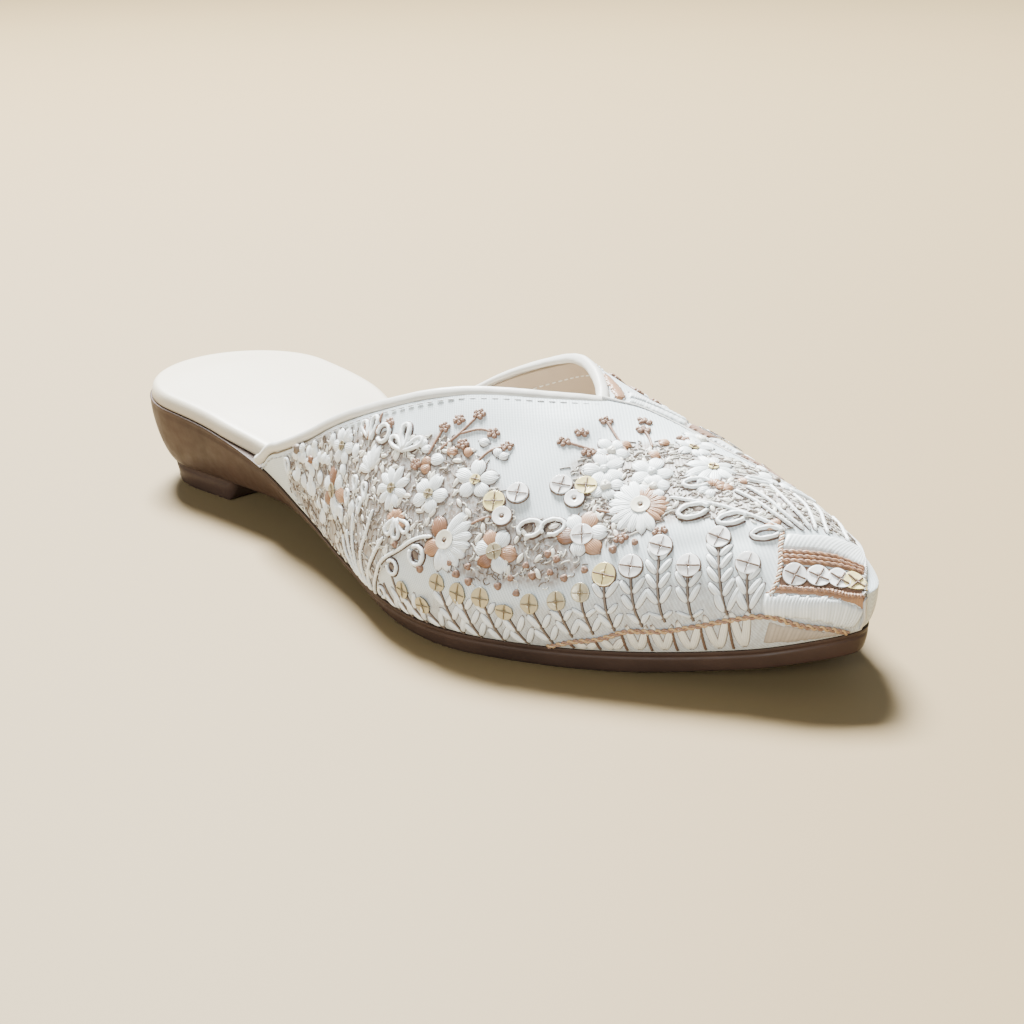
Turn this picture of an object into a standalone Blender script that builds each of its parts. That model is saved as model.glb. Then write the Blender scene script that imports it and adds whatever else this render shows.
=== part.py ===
"""Backless embroidered mule for the right foot, built as a shoemaker would part it.

Four solids: a moulded sole with its heel block, a padded footbed, one hollow upper lofted
over the last and a bound topline.  Shapes are in millimetres about the last: the station
counts from the back of the heel to the toe (+X), the lateral side is -Y, the medial side +Y,
the ground is Z = 0.  The last's tables have a row for each tenth or so of its length, and give
widths as shares of the ball's width.  Meshes are written in metres.
"""

import math
from typing import NamedTuple

import bmesh
import bpy
import numpy as np

MM = 0.001

# Driving sizes of the last and the sole.
LENGTH = 236.5
BALL_WIDTH = 84.0
THROAT = 174.0
WAIST_END = 70.0
HEEL_ROUND = 27.0
TOE_ROUND = 14.0

# Wall, gaps and edges.
WALL = 2.0
GAP = 0.3
UPPER_INSET = 0.4
BINDING_WIDTH = 2.7
BINDING_THICKNESS = 2.6
BINDING_GAP = 0.45
BINDING_END = 0.992
BINDING_SQUARENESS = 0.7

# Padded footbed; its edge is a row of insets and shares of the thickness.
FOOTBED_THICKNESS = 3.6
FOOTBED_OPEN_INSET = 0.6
FOOTBED_UNDER_INSET = 3.4
FOOTBED_STEP = (53.0, 60.0)
FOOTBED_EDGE = ((0.5, 0.0), (0.0, 0.25), (0.0, 0.5), (0.5, 0.76), (1.4, 0.93), (3.0, 1.0))

# Heel block under the hull of the sole; each row is its inset, its drop and the waist's inset.
BLOCK_FRONT = 42.0
BLOCK_FILLET = 5.0
BLOCK_ROWS = ((-0.5, 0.12, 0.8), (0.3, 0.88, 1.8), (1.1, 1.0, 3.0))
HULL_POWER = 1.6
HULL_SHARES = (0.0, 0.08, 0.3, 0.52, 0.72, 0.88, 1.0)

# Cross-section of the upper.
SHOULDER = 0.78
TUCK_ANGLE = 1.25
DOME_POWER = 1.6
TOE_DOME = 22.4
TOE_DOME_POWER = 2.4
THROAT_ROUND = 0.08

# Mesh density.
STATION_STEP = 7.5
TOE_STEPS = 7
HEEL_STEPS = 9
DOME_STEPS = 34
SIDE_STEPS = 3
UPPER_STEPS = 20
BINDING_SIDES = 8
SHARP_ANGLE = math.radians(38.0)


class SoleRow(NamedTuple):
    """One section of the sole: its place is a share of the length, its width one of the ball's."""

    place: float
    width: float
    lean: float
    feather: float
    underside: float
    turn: float


class UpperRow(NamedTuple):
    """Height of the crown, and the swell of the side wall, at a share of the length."""

    place: float
    crown: float
    swell: float
    swell_height: float


class ToplineRow(NamedTuple):
    """How far the upper's edge has come from waist to throat; around is 0 at the crown."""

    around: float
    reach: float


SOLE = (
    SoleRow(0.00, 0.665, 0.0, 25.0, 6.0, 6.0),
    SoleRow(0.10, 0.66, -0.5, 24.0, 6.0, 6.5),
    SoleRow(0.20, 0.64, -1.0, 22.0, 6.0, 7.0),
    SoleRow(0.30, 0.615, -3.0, 17.5, 6.5, 7.5),
    SoleRow(0.40, 0.65, -5.5, 11.5, 5.0, 8.0),
    SoleRow(0.50, 0.765, -7.0, 7.5, 2.0, 6.0),
    SoleRow(0.60, 0.92, -6.5, 5.5, 0.0, 3.0),
    SoleRow(0.68, 1.00, -4.0, 5.5, 0.0, 3.0),
    SoleRow(0.76, 0.93, 0.0, 5.5, 0.0, 3.0),
    SoleRow(0.84, 0.73, 1.5, 6.5, 1.0, 2.5),
    SoleRow(0.92, 0.46, 1.5, 9.0, 4.0, 2.0),
    SoleRow(1.00, 0.215, 1.5, 13.5, 8.5, 1.0),
)

UPPER = (
    UpperRow(0.20, 86.0, 1.0, 8.0),
    UpperRow(0.30, 80.5, 1.5, 8.5),
    UpperRow(0.40, 75.5, 1.5, 9.5),
    UpperRow(0.50, 70.0, 2.0, 10.0),
    UpperRow(0.60, 62.0, 3.0, 10.0),
    UpperRow(0.68, 52.0, 3.0, 10.0),
    UpperRow(0.76, 43.5, 3.0, 9.5),
    UpperRow(0.84, 38.5, 2.5, 9.5),
    UpperRow(0.92, 34.0, 2.0, 9.0),
    UpperRow(1.00, 24.5, 2.0, 8.5),
)

TOPLINE = (
    ToplineRow(0.0, 1.00),
    ToplineRow(0.2, 0.84),
    ToplineRow(0.4, 0.62),
    ToplineRow(0.6, 0.33),
    ToplineRow(0.8, 0.09),
    ToplineRow(0.9, 0.04),
    ToplineRow(1.0, 0.00),
)


def column(table, name):
    """One named column of a table, as an array."""
    return np.array([getattr(row, name) for row in table])


def smooth(at, knots, values):
    """Cubic through the knots, each with the slope of the parabola through its neighbours."""
    at = np.clip(np.asarray(at, float), knots[0], knots[-1])
    gaps = np.diff(knots)
    slopes = np.diff(values) / gaps
    tangents = np.empty(len(knots))
    tangents[1:-1] = (slopes[:-1] * gaps[1:] + slopes[1:] * gaps[:-1]) / (knots[2:] - knots[:-2])
    tangents[0] = slopes[0]
    tangents[-1] = slopes[-1]
    cell = np.clip(np.searchsorted(knots, at, side="right") - 1, 0, len(gaps) - 1)
    gap = gaps[cell]
    t = (at - knots[cell]) / gap
    start = (2 * t**3 - 3 * t**2 + 1) * values[cell] + (t**3 - 2 * t**2 + t) * gap * tangents[cell]
    end = (3 * t**2 - 2 * t**3) * values[cell + 1] + (t**3 - t**2) * gap * tangents[cell + 1]
    return start + end


def read(table, name, at):
    """The smooth value of a named column, read along the table's first column."""
    return smooth(at, column(table, table[0]._fields[0]), column(table, name))


def sole(name, station):
    """A named column of the sole's table at a station."""
    return read(SOLE, name, np.asarray(station, float) / LENGTH)


def vamp(name, station):
    """A named column of the upper's table at a station."""
    return read(UPPER, name, np.asarray(station, float) / LENGTH)


def end_rounding(station):
    """Share of the half width left at a station by the round heel and the round toe."""
    heel = np.clip((HEEL_ROUND - station) / HEEL_ROUND, 0.0, 1.0)
    toe = np.clip((station - LENGTH + TOE_ROUND) / TOE_ROUND, 0.0, 1.0)
    return np.sqrt(np.clip(1.0 - heel**2, 0.0, 1.0)) * np.sqrt(np.clip(1.0 - toe**2, 0.0, 1.0))


def outline(station, side):
    """Distance across of the feather edge; side is -1 for lateral and +1 for medial."""
    half_width = sole("width", station) * BALL_WIDTH / 2
    return sole("lean", station) + side * half_width * end_rounding(station)


def outward(station, side):
    """Plan direction square to the feather edge, pointing away from the last."""
    reach = 0.02
    before = np.clip(station - reach, 0.0, LENGTH)
    after = np.clip(station + reach, 0.0, LENGTH)
    along = after - before
    across = outline(after, side) - outline(before, side)
    direction = np.stack([-across * side, along * side], axis=-1)
    direction /= np.linalg.norm(direction, axis=-1, keepdims=True)
    direction[station <= 0.0] = (-1.0, 0.0)
    direction[station >= LENGTH] = (1.0, 0.0)
    return direction


def edge_points(station, side, inset, height):
    """Points set in from the feather edge by an inset, at the given height."""
    station = np.asarray(station, float)
    away = outward(station, side)
    x = station - away[..., 0] * inset
    y = outline(station, side) - away[..., 1] * inset
    return np.stack([x, y, np.broadcast_to(height, x.shape)], axis=-1)


def heel_stations():
    """Stations round the heel, at even angles of its arc."""
    return HEEL_ROUND * (1.0 - np.cos(np.linspace(0.0, math.pi / 2, HEEL_STEPS + 1)))


def toe_stations():
    """Stations round the toe, at even angles of its arc."""
    return LENGTH - TOE_ROUND * (1.0 - np.sin(np.linspace(0.0, math.pi / 2, TOE_STEPS + 1)))


def even_stations(first, last, step):
    """Evenly spread stations between two others, without either end."""
    count = max(1, round((last - first) / step))
    return np.linspace(first, last, count + 1)[1:-1]


def upper_surface(station, around, depth):
    """Points of the upper at a depth below its outer face; around runs from -1 to +1."""
    station, around = np.broadcast_arrays(np.asarray(station, float), np.asarray(around, float))
    feather = sole("feather", station)
    swell = vamp("swell", station)
    widest = feather + vamp("swell_height", station)
    reach = swell - depth - UPPER_INSET
    lateral = edge_points(station, -1, -reach, 0.0)[..., :2]
    medial = edge_points(station, 1, -reach, 0.0)[..., :2]

    angle = np.clip(np.abs(around) / SHOULDER, 0.0, 1.0) * math.pi / 2
    spread = np.sign(around) * np.sin(angle) ** (2 / DOME_POWER)
    toe = np.clip((station - LENGTH + TOE_DOME) / TOE_DOME, 0.0, 1.0)
    closing = np.sqrt(np.clip(1.0 - toe**TOE_DOME_POWER, 0.0, 1.0))
    rise = (vamp("crown", station) - depth - widest) * closing
    plan = (lateral + medial) / 2 + (medial - lateral) / 2 * spread[..., None]
    lift = widest + rise * np.clip(np.cos(angle), 0.0, 1.0) ** (2 / DOME_POWER)
    dome = np.concatenate([plan, lift[..., None]], axis=-1)

    side = np.where(around < 0, -1.0, 1.0)
    tuck = np.clip((np.abs(around) - SHOULDER) / (1.0 - SHOULDER), 0.0, 1.0) * TUCK_ANGLE
    share = (np.cos(tuck) - math.cos(TUCK_ANGLE)) / (1.0 - math.cos(TUCK_ANGLE))
    inset = UPPER_INSET + depth - swell * share
    foot = feather + GAP
    height = widest - (widest - foot) * np.sin(tuck) / math.sin(TUCK_ANGLE)
    wall = edge_points(station, side, inset, height)
    return np.where((np.abs(around) <= SHOULDER)[..., None], dome, wall)


def topline_station(around):
    """Station of the upper's free edge at a place around it, with the throat's corner rounded."""
    rounded = np.minimum(np.hypot(around, THROAT_ROUND), 1.0)
    return WAIST_END + (THROAT - WAIST_END) * read(TOPLINE, "reach", rounded)


def shell_columns():
    """Places around the upper where its columns of vertices stand."""
    dome = np.linspace(-SHOULDER, SHOULDER, DOME_STEPS + 1)
    wall = np.linspace(SHOULDER, 1.0, SIDE_STEPS + 1)[1:]
    return np.concatenate([-wall[::-1], dome, wall])


def shell_grid(around, depth):
    """Rows of the upper from its free edge to the toe, at a depth below its outer face."""
    toe = toe_stations()
    first = topline_station(around)
    share = np.linspace(0.0, 1.0, UPPER_STEPS + 1)[:-1]
    body = first[None, :] + (toe[0] - first[None, :]) * share[:, None]
    cap = np.repeat(toe[:, None], len(around), axis=1)
    stations = np.concatenate([body, cap])
    return upper_surface(stations, around[None, :], depth)


def new_material(name, colour, roughness):
    """A plain Principled material."""
    material = bpy.data.materials.new(name)
    material.use_nodes = True
    shader = material.node_tree.nodes["Principled BSDF"]
    shader.inputs["Base Color"].default_value = (*colour, 1.0)
    shader.inputs["Roughness"].default_value = roughness
    shader.inputs["Metallic"].default_value = 0.0
    return material


def add_object(name, mesh_data, material):
    """Weld a closed mesh, face it outward and shade it smooth."""
    bmesh.ops.remove_doubles(mesh_data, verts=mesh_data.verts, dist=0.00001)
    bmesh.ops.dissolve_degenerate(mesh_data, edges=mesh_data.edges, dist=0.000002)
    bmesh.ops.triangulate(mesh_data, faces=mesh_data.faces)
    bmesh.ops.recalc_face_normals(mesh_data, faces=mesh_data.faces)
    mesh = bpy.data.meshes.new(name)
    mesh_data.to_mesh(mesh)
    mesh_data.free()
    mesh.materials.append(material)
    mesh.shade_smooth()
    mesh.set_sharp_from_angle(angle=SHARP_ANGLE)
    piece = bpy.data.objects.new(name, mesh)
    bpy.context.scene.collection.objects.link(piece)
    return piece


def add_grid(mesh_data, points, wrap=False):
    """Vertices for a grid of points and the quads between them; wrap closes the second way."""
    rows, columns = points.shape[:2]
    verts = [[mesh_data.verts.new(point * MM) for point in row] for row in points]
    for row in range(rows - 1):
        for column_index in range(columns if wrap else columns - 1):
            beside = (column_index + 1) % columns
            quad = (
                verts[row][column_index],
                verts[row][beside],
                verts[row + 1][beside],
                verts[row + 1][column_index],
            )
            mesh_data.faces.new(quad)
    return verts


def add_strip(mesh_data, first, second):
    """Quads between two rows of vertices of the same length."""
    for index in range(len(first) - 1):
        mesh_data.faces.new((first[index], first[index + 1], second[index + 1], second[index]))


def add_layers(mesh_data, stations, insets, heights):
    """A solid from rings set in from the feather edge: one row of insets and heights a ring."""
    rings = []
    for inset, height in zip(insets, heights):
        lateral = edge_points(stations, -1, inset, height)
        medial = edge_points(stations, 1, inset, height)
        rings.append(np.stack([lateral, medial]))
    walls = [add_grid(mesh_data, np.stack([ring[side] for ring in rings])) for side in (0, 1)]
    for ring in (0, -1):
        add_strip(mesh_data, walls[0][ring], walls[1][ring])


def sole_rings(stations):
    """Insets and heights of the sole's rings, from its top edge down to the middle of its face."""
    feather = sole("feather", stations)
    underside = np.maximum(sole("underside", stations), 0.0)
    turn = sole("turn", stations)
    ground_share = np.clip((stations - BLOCK_FRONT) / BLOCK_FILLET, 0.0, 1.0)
    block = 0.5 + 0.5 * np.cos(math.pi * ground_share)
    insets = []
    heights = []
    for share in HULL_SHARES:
        insets.append(turn * (1.0 - (1.0 - share**HULL_POWER) ** (1 / HULL_POWER)))
        heights.append(feather - share * (feather - underside))
    for block_inset, drop, flat_inset in BLOCK_ROWS:
        insets.append(turn + flat_inset + (block_inset - flat_inset) * block)
        heights.append(underside * (1.0 - drop * block))
    return insets, heights


def build_sole():
    """Moulded sole: hull-sided heel with its block, waist, forefoot band and toe spring."""
    waist = np.array([BLOCK_FRONT - 9.0, BLOCK_FRONT])
    fillet = BLOCK_FRONT + BLOCK_FILLET * np.array([0.2, 0.4, 0.6, 0.8, 1.0])
    body = even_stations(fillet[-1], LENGTH - TOE_ROUND, STATION_STEP)
    stations = np.concatenate([heel_stations(), waist, fillet, body, toe_stations()])
    insets, heights = sole_rings(stations)
    mesh_data = bmesh.new()
    add_layers(mesh_data, stations, insets, heights)
    return add_object("sole_unit", mesh_data, new_material("brown_moulded_sole", (0.14, 0.10, 0.08), 0.42))


def build_footbed():
    """Padded footbed, set further in from where the upper stands beside it."""
    first, last = FOOTBED_STEP
    body = even_stations(last, LENGTH - TOE_ROUND, STATION_STEP)
    middle = np.array([40.0, first, (first + last) / 2, last])
    stations = np.concatenate([heel_stations(), middle, body, toe_stations()])
    share = np.clip((stations - first) / (last - first), 0.0, 1.0)
    step = FOOTBED_OPEN_INSET + (FOOTBED_UNDER_INSET - FOOTBED_OPEN_INSET) * share
    base = sole("feather", stations) + GAP
    insets = []
    heights = []
    for inset, share_up in FOOTBED_EDGE:
        insets.append(step + inset)
        heights.append(base + share_up * FOOTBED_THICKNESS)
    mesh_data = bmesh.new()
    add_layers(mesh_data, stations, insets, heights)
    return add_object("footbed", mesh_data, new_material("cream_footbed", (0.85, 0.81, 0.74), 0.45))


def build_upper():
    """Hollow upper: outer and inner faces over the last, open at the topline and underneath."""
    around = shell_columns()
    mesh_data = bmesh.new()
    outer = add_grid(mesh_data, shell_grid(around, 0.0))
    inner = add_grid(mesh_data, shell_grid(around, WALL))
    add_strip(mesh_data, outer[0], inner[0])
    for side in (0, -1):
        add_strip(mesh_data, [row[side] for row in outer], [row[side] for row in inner])
    return add_object("upper", mesh_data, new_material("white_embroidered_cloth", (0.80, 0.80, 0.82), 0.6))


def topline_frame(around):
    """Points of the upper's edge with the directions along it, off its face and past its edge."""
    reach = 0.004
    middle = upper_surface(topline_station(around), around, WALL / 2)
    before = upper_surface(topline_station(around - reach), around - reach, WALL / 2)
    after = upper_surface(topline_station(around + reach), around + reach, WALL / 2)
    toward_toe = upper_surface(topline_station(around) + 0.5, around, WALL / 2) - middle
    along = after - before
    along /= np.linalg.norm(along, axis=1, keepdims=True)
    normal = np.cross(toward_toe, along)
    normal /= np.linalg.norm(normal, axis=1, keepdims=True)
    past = np.cross(normal, along)
    past *= -np.sign(np.sum(past * toward_toe, axis=1, keepdims=True))
    return middle, normal, past


def build_binding():
    """Rolled binding that runs round the topline, a gap past the upper's edge."""
    around = np.clip(shell_columns(), -BINDING_END, BINDING_END)
    middle, normal, past = topline_frame(around)
    axis = middle + past * (BINDING_GAP + BINDING_WIDTH / 2)
    turns = (np.arange(BINDING_SIDES) + 0.5) / BINDING_SIDES * 2 * math.pi
    out = np.sign(np.sin(turns)) * np.abs(np.sin(turns)) ** BINDING_SQUARENESS * BINDING_THICKNESS / 2
    up = np.sign(np.cos(turns)) * np.abs(np.cos(turns)) ** BINDING_SQUARENESS * BINDING_WIDTH / 2
    out *= BINDING_THICKNESS / 2 / np.abs(out).max()
    up *= BINDING_WIDTH / 2 / np.abs(up).max()
    rings = axis[:, None] + normal[:, None] * out[None, :, None] + past[:, None] * up[None, :, None]
    floor = sole("feather", rings[..., 0]) + GAP
    rings[..., 2] = np.maximum(rings[..., 2], floor)
    mesh_data = bmesh.new()
    verts = add_grid(mesh_data, rings, wrap=True)
    for end in (0, -1):
        mesh_data.faces.new(verts[end])
    return add_object("topline_binding", mesh_data, new_material("cream_binding", (0.82, 0.79, 0.75), 0.45))


def centre_over_origin(pieces):
    """Move every piece by the same amount, so that the middle of their box is over the origin."""
    corners = np.array([vertex.co for piece in pieces for vertex in piece.data.vertices])
    middle = (corners.min(axis=0) + corners.max(axis=0)) / 2
    for piece in pieces:
        piece.location = (-middle[0], -middle[1], 0.0)


for leftover in list(bpy.data.objects):
    bpy.data.objects.remove(leftover, do_unlink=True)
centre_over_origin([build_sole(), build_footbed(), build_upper(), build_binding()])
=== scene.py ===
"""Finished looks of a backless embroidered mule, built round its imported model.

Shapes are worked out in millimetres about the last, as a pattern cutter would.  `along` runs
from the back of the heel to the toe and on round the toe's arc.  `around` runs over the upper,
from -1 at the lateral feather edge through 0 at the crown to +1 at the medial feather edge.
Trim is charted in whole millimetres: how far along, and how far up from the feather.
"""

from __future__ import annotations

import logging
import math
from dataclasses import dataclass, field
from enum import Enum
from functools import cache
from typing import NamedTuple, Sequence

import bpy
import numpy as np
from mathutils import Matrix, Vector


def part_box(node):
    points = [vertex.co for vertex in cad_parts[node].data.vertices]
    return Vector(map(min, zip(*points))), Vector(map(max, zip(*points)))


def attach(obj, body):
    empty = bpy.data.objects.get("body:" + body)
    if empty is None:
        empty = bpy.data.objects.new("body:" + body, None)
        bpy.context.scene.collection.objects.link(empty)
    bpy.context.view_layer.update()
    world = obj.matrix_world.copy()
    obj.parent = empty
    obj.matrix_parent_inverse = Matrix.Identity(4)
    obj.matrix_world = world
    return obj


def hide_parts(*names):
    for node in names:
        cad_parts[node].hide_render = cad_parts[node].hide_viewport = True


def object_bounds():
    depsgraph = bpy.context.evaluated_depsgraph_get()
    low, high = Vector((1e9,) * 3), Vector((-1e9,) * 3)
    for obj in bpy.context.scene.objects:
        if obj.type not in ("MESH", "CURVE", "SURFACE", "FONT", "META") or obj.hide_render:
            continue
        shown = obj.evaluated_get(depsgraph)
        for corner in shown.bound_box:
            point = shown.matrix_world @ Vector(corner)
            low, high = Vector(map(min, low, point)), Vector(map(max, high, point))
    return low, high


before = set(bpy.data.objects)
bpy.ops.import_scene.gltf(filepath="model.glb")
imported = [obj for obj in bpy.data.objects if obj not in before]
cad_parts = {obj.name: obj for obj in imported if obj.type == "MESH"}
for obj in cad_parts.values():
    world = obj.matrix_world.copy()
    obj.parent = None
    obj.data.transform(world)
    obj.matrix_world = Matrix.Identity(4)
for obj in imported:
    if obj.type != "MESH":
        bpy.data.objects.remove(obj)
CAD_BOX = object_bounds()

log = logging.getLogger("mule")

Array = np.ndarray
Colour = tuple[float, float, float]
Place = tuple[float, float]
Path = Sequence[Place]
Socket = bpy.types.NodeSocket

MM = 0.001
BODY = "root"


# ---------- the last


def entries(kind: type[NamedTuple], *table: tuple) -> tuple[NamedTuple, ...]:
    """The rows of a table, as named tuples of a kind."""
    return tuple(kind(*row) for row in table)


class Curves:
    """Named curves that share their knots."""

    def __init__(self, knots: tuple[float, ...], **curves: tuple[float, ...]) -> None:
        """Keep the rising places of the knots, and each curve's values at them."""
        self.knots = np.array(knots)
        self.curves = {name: np.array(values) for name, values in curves.items()}

    def read(self, name: str, at: Array) -> Array:
        """The smooth value of a named curve at some places."""
        return smooth(at, self.knots, self.curves[name])


# Sections of the sole at shares of its length; each width is a share of the ball's.
SOLE = Curves(
    (0.00, 0.10, 0.20, 0.30, 0.40, 0.50, 0.60, 0.68, 0.76, 0.84, 0.92, 1.00),
    width=(0.665, 0.66, 0.64, 0.615, 0.65, 0.765, 0.92, 1.00, 0.93, 0.73, 0.46, 0.215),
    lean=(0.0, -0.5, -1.0, -3.0, -5.5, -7.0, -6.5, -4.0, 0.0, 1.5, 1.5, 1.5),
    feather=(25.0, 24.0, 22.0, 17.5, 11.5, 7.5, 5.5, 5.5, 5.5, 6.5, 9.0, 13.5),
    underside=(6.0, 6.0, 6.0, 6.5, 5.0, 2.0, 0.0, 0.0, 0.0, 1.0, 4.0, 8.5),
    turn=(6.0, 6.5, 7.0, 7.5, 8.0, 6.0, 3.0, 3.0, 3.0, 2.5, 2.0, 1.0),
)

# Height of the crown, and the swell of the side wall, at shares of the length.
UPPER = Curves(
    (0.20, 0.30, 0.40, 0.50, 0.60, 0.68, 0.76, 0.84, 0.92, 1.00),
    crown=(86.0, 80.5, 75.5, 70.0, 62.0, 52.0, 43.5, 38.5, 34.0, 24.5),
    swell=(1.0, 1.5, 1.5, 2.0, 3.0, 3.0, 3.0, 2.5, 2.0, 2.0),
    swell_height=(8.0, 8.5, 9.5, 10.0, 10.0, 10.0, 9.5, 9.5, 9.0, 8.5),
)

# How far the upper's edge has come from waist to throat, by the place around; 0 is the crown.
TOPLINE = Curves((0.0, 0.2, 0.4, 0.6, 0.8, 0.9, 1.0), reach=(1.00, 0.84, 0.62, 0.33, 0.09, 0.04, 0.00))

# Where the lateral panel's front edge runs, from the throat over the crown to the toe.
PANEL = Curves(
    (165.0, 168.0, 170.0, 174.0, 178.0, 182.0, 190.0, 200.0, 212.0)
    + (222.0, 227.0, 232.0, 236.0, 240.0, 242.0, 243.0, 243.5),
    around=(0.0, 0.06, 0.11, 0.155, 0.18, 0.19, 0.22, 0.31, 0.44)
    + (0.50, 0.43, 0.32, 0.16, -0.15, -0.55, -0.85, -0.98),
)

# Soft troughs (or, with a negative depth, ridges): start, end, width, depth.
CREASES = (
    ((92.0, -0.86), (120.0, -0.80), 3.2, 0.45), ((150.0, -0.70), (172.0, -0.82), 3.6, 0.35),
    ((176.0, -0.20), (192.0, -0.42), 5.0, 0.35), ((150.0, -0.28), (168.0, -0.16), 4.5, -0.35),
    ((203.0, -0.45), (217.0, -0.30), 3.5, 0.30), ((96.0, 0.84), (122.0, 0.78), 3.2, 0.45),
    ((158.0, 0.70), (180.0, 0.62), 4.0, 0.40), ((186.0, 0.40), (202.0, 0.55), 4.0, 0.35),
)


def smooth(at: Array, knots: Array, values: Array) -> Array:
    """Read a cubic curve whose slope at each knot is that of the parabola through its neighbours.

    Args:
        at: Where to read the curve; past either end it holds its last value.
        knots: Rising places of the knots.
        values: The curve's value at each knot.

    Returns:
        The curve's values, in the shape of `at`.
    """
    at = np.clip(np.asarray(at, float), knots[0], knots[-1])
    gaps = np.diff(knots)
    slopes = np.diff(values) / gaps
    tangents = np.empty(len(knots))
    tangents[1:-1] = (slopes[:-1] * gaps[1:] + slopes[1:] * gaps[:-1]) / (knots[2:] - knots[:-2])
    tangents[0] = slopes[0]
    tangents[-1] = slopes[-1]
    cell = np.clip(np.searchsorted(knots, at, side="right") - 1, 0, len(gaps) - 1)
    gap = gaps[cell]
    t = (at - knots[cell]) / gap
    start = (2 * t**3 - 3 * t**2 + 1) * values[cell] + (t**3 - 2 * t**2 + t) * gap * tangents[cell]
    end = (3 * t**2 - 2 * t**3) * values[cell + 1] + (t**3 - t**2) * gap * tangents[cell + 1]
    return start + end


def ease(value: Array) -> Array:
    """A soft step from 0 to 1 as the value goes from 0 to 1."""
    value = np.clip(value, 0.0, 1.0)
    return value * value * (3.0 - 2.0 * value)


def window(value: Array, low: float, high: float, fade: float) -> Array:
    """1 between two ends and 0 beyond them, with a fade inside each end."""
    return ease((value - low) / fade) * ease((high - value) / fade)


def unit(vectors: Array) -> Array:
    """The vectors, each at length one."""
    return vectors / np.maximum(np.linalg.norm(vectors, axis=-1, keepdims=True), 1e-12)


def bilinear(grid: Array, x: Array, y: Array) -> Array:
    """Read a grid between its points, and hold its edges.

    Args:
        grid: Values on a grid; each has parts on the third axis.
        x: Places along the first axis.
        y: Places along the second axis.

    Returns:
        The values at those places.
    """
    x = np.clip(x, 0.0, grid.shape[0] - 1.001)
    y = np.clip(y, 0.0, grid.shape[1] - 1.001)
    row, column = x.astype(int), y.astype(int)
    right, above = (x - row)[..., None], (y - column)[..., None]
    low = grid[row, column] * (1 - right) + grid[row + 1, column] * right
    high = grid[row, column + 1] * (1 - right) + grid[row + 1, column + 1] * right
    return low * (1 - above) + high * above


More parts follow.
